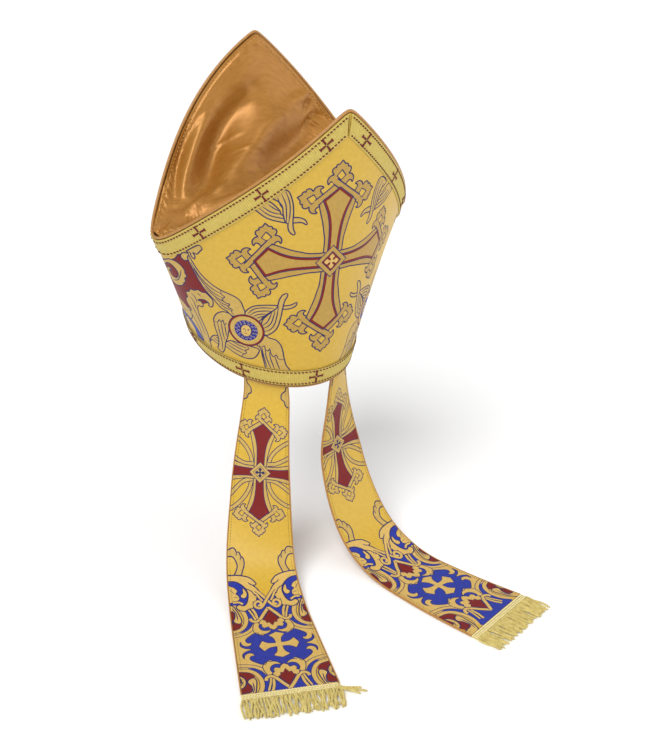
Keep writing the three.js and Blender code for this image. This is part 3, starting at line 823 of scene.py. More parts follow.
GOLD_THREAD = Finish("Pale gold figure thread", (212, 180, 94), (164, 126, 56), warp=110, weft=150,
                     twill=1.0, bump=0.6, bump_mm=0.14, sheen=0.05, thread=0.6, rough=0.5)
TAN_SATIN = Finish("Tan lining satin", (172, 120, 54), (136, 88, 34), warp=260, weft=420, bump=0.15,
                   bump_mm=0.04, roughness=0.36, sheen=0.05, specular=0.5, anisotropic=0.3, broad=0.3,
                   thread=0.2, rough=0.3)
FINISHES = {
    Cloth.GROUND: Finish("Gold satin ground", (208, 172, 60), (184, 142, 38), warp=120, weft=340,
                         bump_mm=0.05, roughness=0.4, sheen=0.04, specular=0.45, anisotropic=0.3,
                         broad=0.35, thread=0.3, rough=0.3),
    Cloth.GOLD: GOLD_THREAD,
    Cloth.TAN: replace(GOLD_THREAD, name="Tan gold figure thread", colour=(194, 158, 72),
                       deep=(150, 114, 46), warp=80, weft=130, twill=0.0),
    Cloth.MAROON: replace(GOLD_THREAD, name="Maroon figure thread", colour=(132, 22, 22),
                          deep=(92, 12, 14), warp=90, weft=120, bump=0.7, roughness=0.55, specular=0.3),
    Cloth.NAVY: replace(GOLD_THREAD, name="Navy outline thread", colour=(42, 40, 96), deep=(26, 24, 62),
                        warp=190, weft=190, twill=-1.0, bump=0.5, bump_mm=0.1, roughness=0.6, sheen=0.03,
                        specular=0.3, broad=0.2, thread=0.5),
    Cloth.BLUE: replace(GOLD_THREAD, name="Blue figure thread", colour=(34, 56, 172), deep=(16, 28, 112),
                        specular=0.35, broad=0.3, thread=0.5),
    Cloth.PALE: replace(GOLD_THREAD, name="Light gold figure thread", colour=(226, 192, 108),
                        deep=(182, 140, 66), roughness=0.45, specular=0.45),
    Cloth.BACKING: TAN_SATIN,
}
BRAID = Finish("Woven galloon gold", (214, 193, 100), (164, 138, 54), warp=45.45, weft=240, bump=0.6,
               bump_mm=0.2, sheen=0.05, broad=0.2, thread=0.6, rough=0.5)
EDGE_THREAD = Finish("Dark edge stitch", (112, 18, 18), (72, 8, 8), warp=300, weft=500, twill=0.3, bump=0.4,
                     bump_mm=0.05, roughness=0.6, sheen=0.05, specular=0.3, broad=0.2, thread=0.5,
                     rough=0.5, on_object=True)
CROSS_THREAD = replace(EDGE_THREAD, name="Maroon cross stitch", colour=(116, 12, 30), deep=(76, 6, 18),
                       roughness=0.55)
# Brown thread for the lappets' stitches and the galloons' mitre join, and for the lines at the galloons'
# edges, which are partly seam and partly painted shadow.
SEAM_AND_SHADOW_THREAD = replace(EDGE_THREAD, name="Brown seam thread", colour=(110, 78, 30), deep=(70, 46, 16))
SEWING_THREAD = replace(EDGE_THREAD, name="Gold sewing thread", colour=(226, 192, 118),
                        deep=(160, 114, 50), bump_mm=0.04, roughness=0.45, sheen=0.1, specular=0.4)
BRONZE_SATIN = replace(TAN_SATIN, name="Bronze satin piping", colour=(188, 136, 68), deep=(136, 88, 38),
                       warp=240, twill=0.6, bump=0.3, bump_mm=0.06, anisotropic=0.2, broad=0.4, thread=0.3)
BINDING_SATIN = replace(TAN_SATIN, name="Tan binding satin", colour=(186, 134, 62), deep=(140, 92, 38),
                        warp=240, bump=0.2, bump_mm=0.05, roughness=0.4, anisotropic=0.2, thread=0.25)
LINING_SATIN = replace(TAN_SATIN, name="Bronze crown satin", colour=(180, 125, 52), deep=(134, 82, 20),
                       warp=300, weft=520, bump=0.1, bump_mm=0.03, roughness=0.4, metallic=0.3, sheen=0.0,
                       specular=0.45, anisotropic=0.4, broad=0.4, thread=0.15)
# Its deep colour is dark so that the painted shade in the weave's low places, with the random patches, stands
# for the shade among the yarns.
FRINGE_YARN = Finish("Pale gold fringe yarn", (244, 228, 146), (170, 144, 68), warp=260, weft=500,
                     twill=0.5, bump=0.6, sheen=0.12, broad=0.45, thread=0.6, rough=0.5, on_object=True)
FRINGE_HEAD = replace(FRINGE_YARN, name="Cream fringe head", colour=(252, 240, 184), deep=(206, 186, 116),
                      broad=0.3)


def curve(points: Points, step: float = 2.0, closed: bool = False) -> np.ndarray:
    """Smooth line through points, in even steps.

    Args:
        points: the points it runs through.
        step: length of its steps, millimetres.
        closed: whether it comes back to its start.

    Returns:
        The line's points, one row each.
    """
    spots = np.array(points, dtype=float)
    if closed:
        spots = np.vstack([spots[-1:], spots, spots[:2]])
    else:
        spots = np.vstack([2 * spots[0] - spots[1], spots, 2 * spots[-1] - spots[-2]])
    parts = []
    for p0, p1, p2, p3 in zip(spots, spots[1:], spots[2:], spots[3:]):
        count = max(2, int(np.ceil(np.linalg.norm(p2 - p1) / step)))
        t = (np.arange(count) / count)[:, None]
        parts.append(0.5 * (2 * p1 + (p2 - p0) * t + (2 * p0 - 5 * p1 + 4 * p2 - p3) * t ** 2
                            + (3 * p1 - p0 - 3 * p2 + p3) * t ** 3))
    if not closed:
        parts.append(spots[-2:-1])
    return np.vstack(parts)


def rimmed(corners: np.ndarray) -> np.ndarray:
    """The corners of a stroke's segment in an order that makes a plain convex shape."""
    middle = corners.mean(axis=0)
    rays = corners - middle
    return corners[np.argsort(np.arctan2(rays[:, 1], rays[:, 0]))]


@dataclass
class Drawing:
    """A flat design of coloured shapes, later ones over earlier ones."""

    shapes: list[tuple[Cloth, np.ndarray]] = field(default_factory=list)

    def fill(self, thread: Cloth, points: np.ndarray | Points) -> None:
        """Adds a filled shape."""
        self.shapes.append((thread, np.array(points, dtype=float)))

    def stroke(self, thread: Cloth, points: np.ndarray | Points, width: float, closed: bool = False,
               taper: tuple[float, float] = (1.0, 1.0)) -> None:
        """Adds a line of some width, whose ends may taper."""
        line = np.array(points, dtype=float)
        if closed:
            line = np.vstack([line, line[:2]])
        step = np.diff(line, axis=0)
        length = np.linalg.norm(step, axis=1)
        line = line[np.concatenate([[True], length > 1e-6])]
        ahead = unit(np.gradient(line, axis=0), SOFT_ZERO)
        side = np.stack([-ahead[:, 1], ahead[:, 0]], -1)
        share = np.linspace(0, 1, len(line))
        fade = np.minimum(taper[0] + (1 - taper[0]) * share * 4, taper[1] + (1 - taper[1]) * (1 - share) * 4)
        half = (width / 2) * np.clip(fade, 0.15, 1)[:, None]
        left, right = line + side * half, line - side * half
        for a, b, c, d in zip(left, right, right[1:], left[1:]):
            self.shapes.append((thread, rimmed(np.array([a, b, c, d]))))

    def outlined(self, thread: Cloth, points: np.ndarray | Points, width: float = 1.1,
                 outline: Cloth = Cloth.NAVY) -> None:
        """Adds a filled shape with a line round it."""
        self.fill(thread, points)
        self.stroke(outline, points, width, closed=True)

    def put(self, other: "Drawing", shift: tuple[float, float] = (0.0, 0.0), turn_deg: float = 0.0,
            size: tuple[float, float] = (1.0, 1.0)) -> None:
        """Adds another design, sized, turned and moved."""
        turn = math.radians(turn_deg)
        cos, sin = math.cos(turn), math.sin(turn)
        for thread, points in other.shapes:
            x, y = points[:, 0] * size[0], points[:, 1] * size[1]
            spot = np.stack([x * cos - y * sin + shift[0], x * sin + y * cos + shift[1]], -1)
            self.shapes.append((thread, spot))

    def rethreaded(self, old: Cloth, new: Cloth) -> "Drawing":
        """The same design with one thread in place of another."""
        return Drawing([(new if thread is old else thread, points) for thread, points in self.shapes])

    def warped(self, change: Callable[[np.ndarray], np.ndarray]) -> "Drawing":
        """The same design with its points moved by a function."""
        return Drawing([(thread, change(points)) for thread, points in self.shapes])


def mirrored(points: np.ndarray | Points) -> np.ndarray:
    """A half outline and its mirror image, from its last point back to its first."""
    half = np.array(points, dtype=float)
    other = half[::-1] * [-1, 1]
    keep = np.abs(other[:, 0]) > 1e-6
    return np.vstack([half, other[keep]])


def woven_cut(name: str, outline: np.ndarray, drawing: Drawing, columns: np.ndarray,
              rows: np.ndarray) -> FlatCloth:
    """Cuts a design into a flat cloth whose every face is one thread.

    Args:
        name: the piece's name.
        outline: the cloth's edge.
        drawing: the design that is woven into it.
        columns: where upright cuts let the cloth bend.
        rows: where level cuts let it bend.

    Returns:
        The cloth, with the threads as its faces' material indices.
    """
    verts: list[Vector] = []
    faces: list[list[int]] = []
    threads: list[Cloth] = []
    low, high = outline.min(axis=0), outline.max(axis=0)

    def add(points: np.ndarray, thread: Cloth) -> None:
        """Adds a shape, turned the right way round."""
        x, y = points[:, 0], points[:, 1]
        area = np.sum(x * np.roll(y, -1) - y * np.roll(x, -1))
        if abs(area) < 1e-4:
            return
        ordered = points if area > 0 else points[::-1]
        start = len(verts)
        verts.extend(Vector(point) for point in ordered)
        faces.append(list(range(start, start + len(ordered))))
        threads.append(thread)

    add(outline, Cloth.GROUND)
    for thread, points in drawing.shapes:
        if (points.max(axis=0) > low).all() and (points.min(axis=0) < high).all():
            add(points, thread)
    edges = []
    for x in columns:
        edges.append((len(verts), len(verts) + 1))
        verts.extend([Vector((x, low[1] - 1)), Vector((x, high[1] + 1))])
    for y in rows:
        edges.append((len(verts), len(verts) + 1))
        verts.extend([Vector((low[0] - 1, y)), Vector((high[0] + 1, y))])
    spots, _, cells, _, _, sources = delaunay_2d_cdt(verts, edges, faces, 1, 1e-4, True)
    cloth = FlatCloth(name)
    layer = [cloth.bm.verts.new((spot.x, spot.y, 0)) for spot in spots]
    for cell, source in zip(cells, sources):
        if 0 not in source:
            continue
        face = cloth.bm.faces.new([layer[i] for i in cell])
        face.material_index = threads[max(source)].value
    loose = [vert for vert in cloth.bm.verts if not vert.link_faces]
    bmesh.ops.delete(cloth.bm, geom=loose, context="VERTS")
    return cloth


@dataclass
class TrefoilCross:
    """A flared cross whose arms end in crossed bars with three pointed knobs."""

    field_thread: Cloth
    edge_thread: Cloth | None

    def knob(self) -> Drawing:
        """A scalloped, pointed knob round a small window; it points along +y."""
        made = Drawing()
        half = [
            (0, 14.8), (3.1, 11.2), (5.3, 10.9), (6.7, 9.4), (6.2, 8.0), (8.5, 7.9), (10.2, 5.8),
            (9.8, 3.0), (8.2, 0.9), (11.2, 0.1), (13.7, -2.6), (14.2, -5.8), (13.0, -8.7), (11.4, -6.3),
            (9.2, -6.2), (7.0, -8.2), (5.0, -11.0)]
        made.outlined(Cloth.GOLD, mirrored(curve(half, 1.3)), 1.4)
        made.outlined(Cloth.GROUND, [(0, 5.2), (-4.9, -0.6), (0, -5.0), (4.9, -0.6)], 1.4)
        return made

    def end(self) -> Drawing:
        """Crossed bars and knobs round an arm's tip, along +y from the middle of the cross."""
        made = Drawing()
        for hand in (1, -1):
            made.put(self.knob(), (hand * 28, 68), -hand * 80.5)
        made.put(self.knob(), (0, 90.5))
        for ends in ([(25, 62.6), (2.0, 80.8)], [(8.0, 86.2), (-25, 62.6)]):
            bar = np.array(ends)
            ahead = (bar[1] - bar[0]) / np.linalg.norm(bar[1] - bar[0])
            made.stroke(Cloth.NAVY, [bar[0] + ahead * 2.5, bar[1] - ahead * 2.5], 7.7)
            made.stroke(Cloth.GOLD, [bar[0], bar[1]], 5.0)
        return made

    def sides(self, widths: Points) -> np.ndarray:
        """Half outline of a flared arm from rows of half width and distance."""
        return curve([(x, y) for y, x in widths], 3.0)

    def arm(self) -> Drawing:
        """One arm, along +y from the middle."""
        made = Drawing()
        outer = self.sides([(8, 11.0), (24, 11.3), (32, 12.9), (42, 15.1), (52, 18.2), (61.5, 21.0)])
        made.fill(Cloth.NAVY, mirrored(np.vstack([outer, [(15.5, 68)]])))
        inner = outer - [1.35, 0]
        made.fill(Cloth.GOLD, mirrored(np.vstack([inner, [(14.5, 67.4)]])))
        field = self.sides([(8, 3.2), (20, 3.2), (32, 3.8), (42, 5.0), (52, 7.6), (60, 11.0), (65, 13.4)])
        tip = 75.4
        if self.edge_thread is not None:
            rim = np.vstack([field + [3.4, 0], [(17.0, 66.6)], [(0, 79.2)]])
            made.fill(Cloth.NAVY, mirrored(rim))
            edge = np.vstack([field + [2.4, 0], [(15.8, 66.2)], [(0, 78.0)]])
            made.fill(self.edge_thread, mirrored(edge))
        else:
            made.fill(Cloth.NAVY, mirrored(np.vstack([field + [3.4, 0], [(17.0, 66.0)], [(0, 79.4)]])))
            field, tip = field + [2.3, 0], 78.0
        made.fill(self.field_thread, mirrored(np.vstack([field, [(0, tip)]])))
        return made

    def middle(self, inner: Cloth, cross: Cloth) -> Drawing:
        """The square set on its corner in the middle."""
        made = Drawing()
        for thread, half in ((Cloth.NAVY, 18.0), (Cloth.GOLD, 16.6), (Cloth.NAVY, 11.3), (inner, 10.3)):
            made.fill(thread, [(0, half), (-half, 0), (0, -half), (half, 0)])
        for turn in range(4):
            petal = Drawing()
            petal.fill(cross, [
                (-0.9, 0), (0.9, 0), (1.3, 3.4), (3.0, 4.4), (2.1, 6.4), (0, 8.2), (-2.1, 6.4),
                (-3.0, 4.4), (-1.3, 3.4)])
            made.put(petal, (0, 0), 90 * turn)
        return made

    def whole(self, inner: Cloth, cross: Cloth, ends: Sequence[int] = (0, 1, 2, 3)) -> Drawing:
        """The cross round its middle, with ends on some of its arms, counted from the top."""
        made = Drawing()
        for turn in ends:
            made.put(self.end(), (0, 0), 90 * turn)
        for turn in range(4):
            made.put(self.arm(), (0, 0), 90 * turn)
        made.put(self.middle(inner, cross))
        return made


def plume(outline: Points, veins: Sequence[Points] = (), thread: Cloth = Cloth.GOLD, step: float = 2.0,
          width: float = 1.35) -> Drawing:
    """A bunch of feathers or a leaf: a smooth outline with veins in it.

    Args:
        outline: points of its edge.
        veins: points of each line in it.
        thread: its colour.
        step: length of the outline's steps.
        width: width of its lines.

    Returns:
        The drawing.
    """
    made = Drawing()
    made.outlined(thread, curve(outline, step, True), width)
    for vein in veins:
        made.stroke(Cloth.NAVY, curve(vein, step), width * 0.85, taper=(0.5, 0.5))
    return made


def crossed_plumes() -> Drawing:
    """Two bunches of long feathers that cross, tips down and inwards."""
    made = Drawing()
    made.put(plume([
        (84, 203), (80, 199), (72, 194), (62, 191.6), (50, 190.6), (38, 191.6), (33.2, 189.2),
        (32.4, 191), (35, 194.6), (41, 196.8), (50, 196.6), (58, 199), (60, 203), (68, 210), (76, 212)],
        [[(79, 203), (70, 197.4), (60, 195.4), (49, 194.6)], [(76, 205), (68, 200.6), (59, 199.2)],
         [(71, 208), (65, 204.4), (60.5, 202.4)]]))
    made.put(plume([
        (68, 216), (62, 212), (57.8, 207), (56, 198), (53, 190.5), (51, 190), (50.6, 186), (48.6, 181),
        (44.6, 178.3), (43, 180), (45, 184.5), (46.3, 192), (46.6, 203), (48.5, 213), (53, 223),
        (60, 224)],
        [[(56, 223), (51.6, 213), (50, 203), (50.2, 190)],
         [(59.6, 220), (54.8, 210), (53.2, 200), (52.4, 191)], [(63, 216), (60, 209), (58, 206)]]))
    return made


def seraph() -> Drawing:
    """A six-winged head in a round frame."""
    made = Drawing()
    wings = (
        plume([
            (84, 80), (86.5, 89), (90, 96), (97, 100), (110, 103), (120, 107), (130, 114), (137, 122),
            (145, 134), (146, 130), (140, 118), (134, 107), (127, 97.5), (118, 89), (110, 81.5),
            (103, 79), (97, 75)],
            [[(111, 103), (109.6, 98), (106, 96), (109, 92.4), (104.6, 89.2), (100.4, 88.6), (102.4, 85),
              (97.4, 83), (98.4, 80), (95, 77)],
             [(109.6, 98.6), (120, 102), (130, 109), (137, 117.5), (143, 127)],
             [(108.6, 94), (118, 97), (127, 103.4), (134, 111), (140, 120.5)],
             [(104, 89.4), (113, 91.6), (121, 96), (128, 102)], [(101.4, 86), (109, 87.4), (116, 91)],
             [(98.4, 81.6), (105, 83), (111, 86)]]),
        plume([
            (84, 81), (80, 90), (72, 95), (58, 98), (47, 98.6), (39, 100.6), (34.2, 103.6), (33.4, 101.6),
            (36, 98), (42, 95.4), (50, 94), (58, 90), (64, 84), (68, 78), (72, 74)],
            [[(81, 83), (76, 89.4), (68, 93), (56, 94.6)], [(78.6, 82), (73, 87), (65, 89.8), (57, 91)],
             [(75.4, 81), (70, 84.6), (63, 86.6)], [(72, 79.6), (66, 83), (62.6, 84.6)]]),
        plume([
            (61, 61), (54, 66), (50, 73), (48, 84), (47, 96), (46, 104), (43.4, 111.4), (45, 113.2),
            (49, 110.6), (51.6, 104), (52.6, 96), (56, 92), (61, 86), (66, 78), (66, 68)],
            [[(63, 65), (57, 69), (53.4, 76), (52, 86), (51.4, 97)],
             [(64.6, 68.6), (59, 73), (56, 80), (54.4, 92)],
             [(65.6, 72), (61, 77), (58.6, 84), (57.6, 89)]]),
        plume([
            (62.5, 60), (57, 58.4), (50, 57), (45, 52), (42, 45), (40, 37), (37, 28), (33, 20), (54, 18),
            (60, 28), (65, 44), (69, 47)],
            [[(67, 47.6), (64, 45.4), (61, 48), (60, 43.6), (57, 42), (55.4, 45.4), (54, 40), (50.6, 36),
              (48, 39), (46, 35), (43, 34), (40, 34.4)], [(63.6, 45.4), (60.6, 34), (56, 22)],
             [(60, 43), (58, 34), (52, 21)], [(55.6, 41), (53, 32), (48, 21)],
             [(49, 36.4), (46.6, 30), (42.6, 21)]]),
        plume([
            (66.6, 42), (66.8, 36), (70, 30), (76, 26.4), (85, 26), (95, 28.4), (103, 31), (112, 29),
            (121, 31), (125, 25), (122, 34), (117, 40), (110, 41), (104, 37), (98, 42), (88, 43),
            (76, 43)],
            [[(84.6, 26.4), (81.4, 31), (79, 33), (80.6, 36), (77, 39), (79, 42)],
             [(82, 30.6), (92, 32.6), (102, 35)], [(80.6, 35), (90, 36.6), (100, 39)],
             [(79.6, 39.4), (88, 40), (96, 42)], [(111, 33), (118, 35)], [(110, 37), (116, 38.4)]]),
        plume([
            (97, 74), (101, 77), (107, 77), (113, 73), (117, 66), (117.6, 60), (115.6, 50), (112.4, 40),
            (112, 30), (113.6, 23), (108, 20), (104.6, 26), (103.4, 36), (101, 46), (99.6, 58), (98, 66)],
            [[(117, 60), (113, 60.6), (111, 65), (109, 62), (107, 66), (105, 60), (103, 64)],
             [(113.2, 60.4), (110.6, 48), (107.6, 36), (107.4, 24)],
             [(109, 61.6), (107, 50), (104.4, 40)], [(105, 60.6), (103.4, 52), (102, 46)]]),
    )
    for wing in wings:
        made.put(wing)
    ring = np.array([(math.cos(a), math.sin(a)) for a in np.linspace(0, math.tau, 49)[:-1]])
    centre = np.array([81.6, 61.6])
    for thread, radius in ((Cloth.NAVY, 19.6), (Cloth.MAROON, 18.9), (Cloth.GOLD, 17.1), (Cloth.GOLD, 15.2),
                           (Cloth.NAVY, 12.4)):
        made.fill(thread, centre + ring * radius)
    for row, (radius, count, size) in enumerate(((10.6, 15, 1.9), (8.0, 12, 1.7))):
        for i in range(count):
            angle = math.tau * (i + 0.5 * row) / count
            curl = centre + radius * np.array([math.cos(angle), math.sin(angle)])
            made.fill(Cloth.BLUE, curl + ring[::4] * size)
            made.stroke(Cloth.GOLD, curl + ring[::6][:6] * size * 0.55, 0.5)
    face = np.stack([ring[:, 0] * 5.6, ring[:, 1] * 7.0 - 0.6 * (ring[:, 1] < 0)], -1)
    made.outlined(Cloth.PALE, centre + face, 0.7)
    for hand in (1, -1):
        brow = curve([(hand * 1.2, 1.5), (hand * 2.4, 2.1), (hand * 3.6, 1.6)], 0.8)
        made.stroke(Cloth.NAVY, centre + brow, 0.6)
        made.fill(Cloth.NAVY, centre + np.array([hand * 2.4, 0.7]) + ring[::6] * 0.6)
    made.stroke(Cloth.NAVY, centre + np.array([(0.2, 1.6), (0.5, -1.4), (-0.5, -1.8)]), 0.5)
    made.stroke(Cloth.MAROON, centre + curve([(1.5, -3.6), (0, -4.1), (-1.5, -3.6)], 0.8), 0.7)
    return made


def side_scrolls() -> Drawing:
    """The wine-coloured ground, scroll and acanthus leaf beside the side seam."""
    made = Drawing()
    ground = [
        (146, 131), (140, 120), (135, 110), (128, 99), (119, 90), (121, 84), (135, 75), (147, 60),
        (156, 60), (164, 63), (176, 62), (200, 60), (200, 118), (182, 114), (173, 118), (165, 122),
        (160, 126), (157, 132), (151, 135)]
    made.outlined(Cloth.MAROON, ground, 1.1)
    made.put(plume([(152, 136), (154, 131), (151, 127.6), (147, 128), (144.6, 132), (146, 137)]))
    made.put(plume([
        (148, 139), (144, 139), (142.6, 135), (139.4, 132.4), (138.6, 136), (141, 140), (137, 139),
        (133.4, 144), (131.6, 147), (136, 150)]))
    made.put(plume([
        (160, 122), (168, 121.4), (178, 114), (190, 104), (190, 98), (182, 104), (176, 110), (170, 115),
        (164, 114), (159, 109), (158.4, 103), (162, 98), (167, 97), (171, 100), (170, 105), (166, 107),
        (172, 108), (177, 103), (180, 96), (176, 89), (168, 86), (160, 87.6), (153.6, 92), (152, 96),
        (149.6, 99), (150.4, 103), (147.6, 106.6), (149.6, 110), (150, 114), (154, 119)],
        [[(154, 113), (156, 104), (160, 96), (168, 91)]]))
    made.put(plume([
        (200, 58), (180, 58), (170, 62), (160, 62), (151, 57), (148, 50), (152, 42), (160, 40), (166, 34),
        (164, 24), (164, 16), (200, 16)],
        [[(190, 50), (176, 52), (164, 50), (156, 52)], [(190, 40), (178, 42), (168, 44)]]))
    made.put(plume([
        (163, 42), (154, 41), (146, 36), (140, 28), (137, 18), (147, 17), (150, 28), (156, 35),
        (166, 38)], [], Cloth.BLUE))
    made.put(plume([
        (147, 60), (152, 68), (152.4, 74), (149.4, 78), (151, 84), (146.6, 87), (144.6, 91.4),
        (140, 91.6), (136, 94.4), (131, 93.2), (127, 94), (122.6, 91), (119, 87.6), (118.4, 81),
        (120.6, 77.6), (123.4, 78.6), (123, 81.6), (127, 83.8), (132, 83), (136.6, 79.6), (133, 80.4),
        (129.8, 76.6), (131, 73), (135.4, 72.6), (137, 69), (136, 60), (131, 48), (126.6, 36), (124, 18),
        (134, 17), (138, 34), (144, 46), (150, 56)],
        [[(146, 80), (141, 74), (139, 66)], [(144, 86), (139, 82), (137.4, 76)], [(136.4, 90), (132, 87)],
         [(146, 70), (142, 62), (136, 48), (131, 32)]]))
    return made


def droop(points: np.ndarray) -> np.ndarray:
    """Sinks the design on a horn towards the sides, as the stretched cloth does."""
    moved = points.copy()
    moved[:, 1] -= 4.5 * (points[:, 0] / 100) ** 2
    return moved


def horn_design() -> Drawing:
    """The design woven into the cloth of a horn; x is to the wearer's left and y up."""
    made = Drawing()
    for shift, size in (((0.0, 0.0), (1.0, 1.0)), ((4.0, 0.0), (-1.0, 1.0))):
        made.put(side_scrolls(), shift, 0, size)
        made.put(crossed_plumes(), shift, 0, size)
        made.put(seraph(), shift, 0, size)
    cross = Drawing()
    trefoil = TrefoilCross(Cloth.TAN, Cloth.MAROON).whole(Cloth.MAROON, Cloth.PALE)
    cross.put(trefoil.rethreaded(Cloth.GOLD, Cloth.TAN), (2, 148))
    made.shapes += cross.warped(droop).shapes
    return made


def band(points: Points, width: float, thread: Cloth = Cloth.PALE, edge: float = 0.8,
         step: float = 2.0) -> Drawing:
    """A smooth band with dark edges."""
    made = Drawing()
    line = curve(points, step)
    made.stroke(Cloth.NAVY, line, width + 2 * edge)
    made.stroke(thread, line, width)
    return made


def about_middle(half: Points, step: float = 0.0) -> np.ndarray:
    """A half outline and its mirror image about the middle of the lappet's scrollwork."""
    line = np.array(half, dtype=float) if step == 0 else curve(half, step)
    return mirrored(line - [0.5, 0]) + [0.5, 0]


def scroll_side() -> Drawing:
    """Bands, drops and wine-coloured bits left of the middle of the scrollwork."""
    made = Drawing()
    made.fill(Cloth.MAROON, curve([
        (-48, 252), (-39, 251), (-34, 262), (-32, 271), (-31, 274), (-35, 280), (-40, 284),
        (-50, 287)], 2.5, True))
    made.put(plume([
        (-50, 240), (-38, 243), (-34, 250), (-31.4, 260), (-30.4, 268), (-32.6, 272), (-37, 270.6),
        (-39.4, 266.6), (-36.6, 260), (-38, 252), (-50, 250)],
        [[(-38, 247), (-34.6, 256), (-34.4, 266)]], Cloth.PALE))
    made.put(plume([
        (-52, 258), (-45, 259), (-41.4, 263.6), (-40.6, 270), (-43, 275.4), (-47, 277), (-45.4, 272.4),
        (-45.6, 267), (-52, 264)],
        [[(-47, 262), (-43.6, 268)]], Cloth.PALE))
    made.fill(Cloth.BLUE, curve([
        (-27, 250), (-21, 250), (-18.6, 262), (-19.4, 272), (-22.6, 280), (-28, 285.4), (-36, 287.4),
        (-29, 282), (-24.4, 274), (-23, 262)], 2.5, True))
    made.put(band([(-31, 247), (-26.6, 256), (-25.6, 267), (-29, 277), (-35, 283), (-46, 286)], 4.2))
    made.put(band([(-50, 293), (-38, 291.4), (-29, 288.4), (-22, 282.6), (-17.6, 275)], 3.6))
    made.put(band([(-17.6, 249), (-14.6, 258), (-13.6, 268)], 2.6))
    made.put(band([(-21, 251), (-17.6, 261), (-15.6, 270)], 2.0))
    return made


def scroll_column() -> Drawing:
    """Half of the blue field and the wine-coloured lozenge above it, in the middle of the lappet."""
    made = Drawing()
    field = [
        (0.5, 288), (-3, 291.5), (-8, 294), (-13, 295.5), (-17, 293), (-20.5, 290.5), (-25, 293.5),
        (-29.5, 297.5), (-31.5, 301), (-30.5, 304.3), (-28.5, 305.8), (-26.3, 305.3), (-26.6, 308.2),
        (-29.5, 310.4), (-33, 310), (-36.2, 307), (-37, 302), (-38, 308.5), (-34.4, 313), (-29, 315.2),
        (-27, 316)]
    made.outlined(Cloth.BLUE, about_middle(field, 1.8), 0.9)
    made.fill(Cloth.BLUE, [(-26.6, 314), (27.6, 314), (27.6, 316.1), (-26.6, 316.1)])
    heart = [(0.5, 268), (-15, 275), (-18, 283), (-18, 290), (-8, 296), (0.5, 294)]
    made.fill(Cloth.BLUE, about_middle(heart))
    leaf = curve([
        (-17.2, 272.6), (-20.2, 279), (-21.2, 285.4), (-20.0, 289.6), (-17.2, 290.4), (-15.8, 293.8),
        (-12.4, 293.2), (-9.4, 293.6), (-5.2, 291.6), (-2.2, 287.4), (-6.4, 288.6), (-10.8, 287.6),
        (-13.6, 284.2), (-14.2, 279.8), (-12.8, 275.4)], 1.2, True)
    hook = np.array([(0.5, 251), (-5.4, 259.4), (-11.2, 268.4), (-15.6, 271.6), (-19.8, 269.8),
                     (-21.2, 265.6)])
    for flip, shift in (([1, 1], [0, 0]), ([-1, 1], [1, 0])):
        made.outlined(Cloth.PALE, leaf * flip + shift, 0.9)
        made.put(band(hook * flip + shift, 3.4))
    crown = [
        (0.5, 288.6), (-3.6, 285.2), (-4.4, 282.2), (-9.2, 283.8), (-11.6, 280.2), (-10.4, 277.4),
        (-13.4, 275.4), (-11.8, 271.2), (-8, 268), (0.5, 262)]
    made.outlined(Cloth.PALE, about_middle(crown), 0.9)
    lozenge = [
        (0.5, 254.6), (-3.6, 262), (-8.4, 270), (-5.6, 271.6), (-5, 275.6), (-2.4, 274.6), (0.5, 280.6)]
    made.outlined(Cloth.MAROON, about_middle(lozenge), 0.8)
    return made


def acanthus() -> Drawing:
    """The leaf that crowns the lappet's scrollwork, left of its middle."""
    made = Drawing()
    made.put(plume([
        (-40, 182), (-34, 179), (-30, 177.8), (-27.2, 180), (-26.6, 182.2), (-23.6, 182.4),
        (-21.6, 186.6), (-19, 189), (-18.4, 195), (-20.6, 201.6), (-24, 208), (-31, 208), (-27.6, 201),
        (-26.2, 196), (-28, 190.4), (-31.4, 186.6), (-40, 186)],
        [[(-26.6, 182.6), (-26.6, 186)], [(-21.8, 187), (-22.6, 190.6)]]))
    made.put(plume([
        (-44, 205), (-36, 205.6), (-28, 206), (-20, 207.6), (-14, 210), (-10, 213.8), (-7.6, 217.8),
        (-9.6, 219.2), (-11.4, 219.4), (-8.6, 222.4), (-6.2, 227), (-6.6, 232), (-8.6, 233.4), (-10, 238),
        (-11.4, 244), (-13.6, 244.4), (-15.6, 250), (-20, 250.6), (-25, 253), (-30.6, 251), (-33.4, 246),
        (-30, 243), (-25, 245), (-21.4, 241.6), (-18.8, 234), (-18.4, 227.6), (-20.6, 221.6),
        (-25, 216.4), (-31, 213), (-44, 211)],
        [[(-16.6, 215), (-13.4, 218.2), (-9.6, 219.2)], [(-13.4, 229), (-10.6, 232.6), (-8.8, 233.6)],
         [(-14.6, 240), (-13.6, 244.4)], [(-20, 222), (-14.6, 226), (-12, 230)]], Cloth.PALE))
    made.put(plume([
        (-22.4, 221.6), (-19.6, 227), (-19.8, 231.6), (-22.6, 234.8), (-26, 233.4), (-26.4, 230.4),
        (-23.8, 228), (-23.6, 224)], [], Cloth.PALE, 1.5, 0.8))
    made.put(plume([
        (-44, 215), (-36, 218), (-31.6, 220.4), (-29.2, 225), (-31.4, 227.8), (-28.8, 230.6),
        (-28.4, 235.6), (-33, 238), (-44, 238)],
        [[(-37, 222), (-33, 228)], [(-34, 232), (-30, 233)]], Cloth.PALE, 1.5, 0.8))
    made.put(band([(-36, 239.4), (-30, 239.4), (-25.6, 242.6)], 2.4, Cloth.PALE, 0.7))
    return made


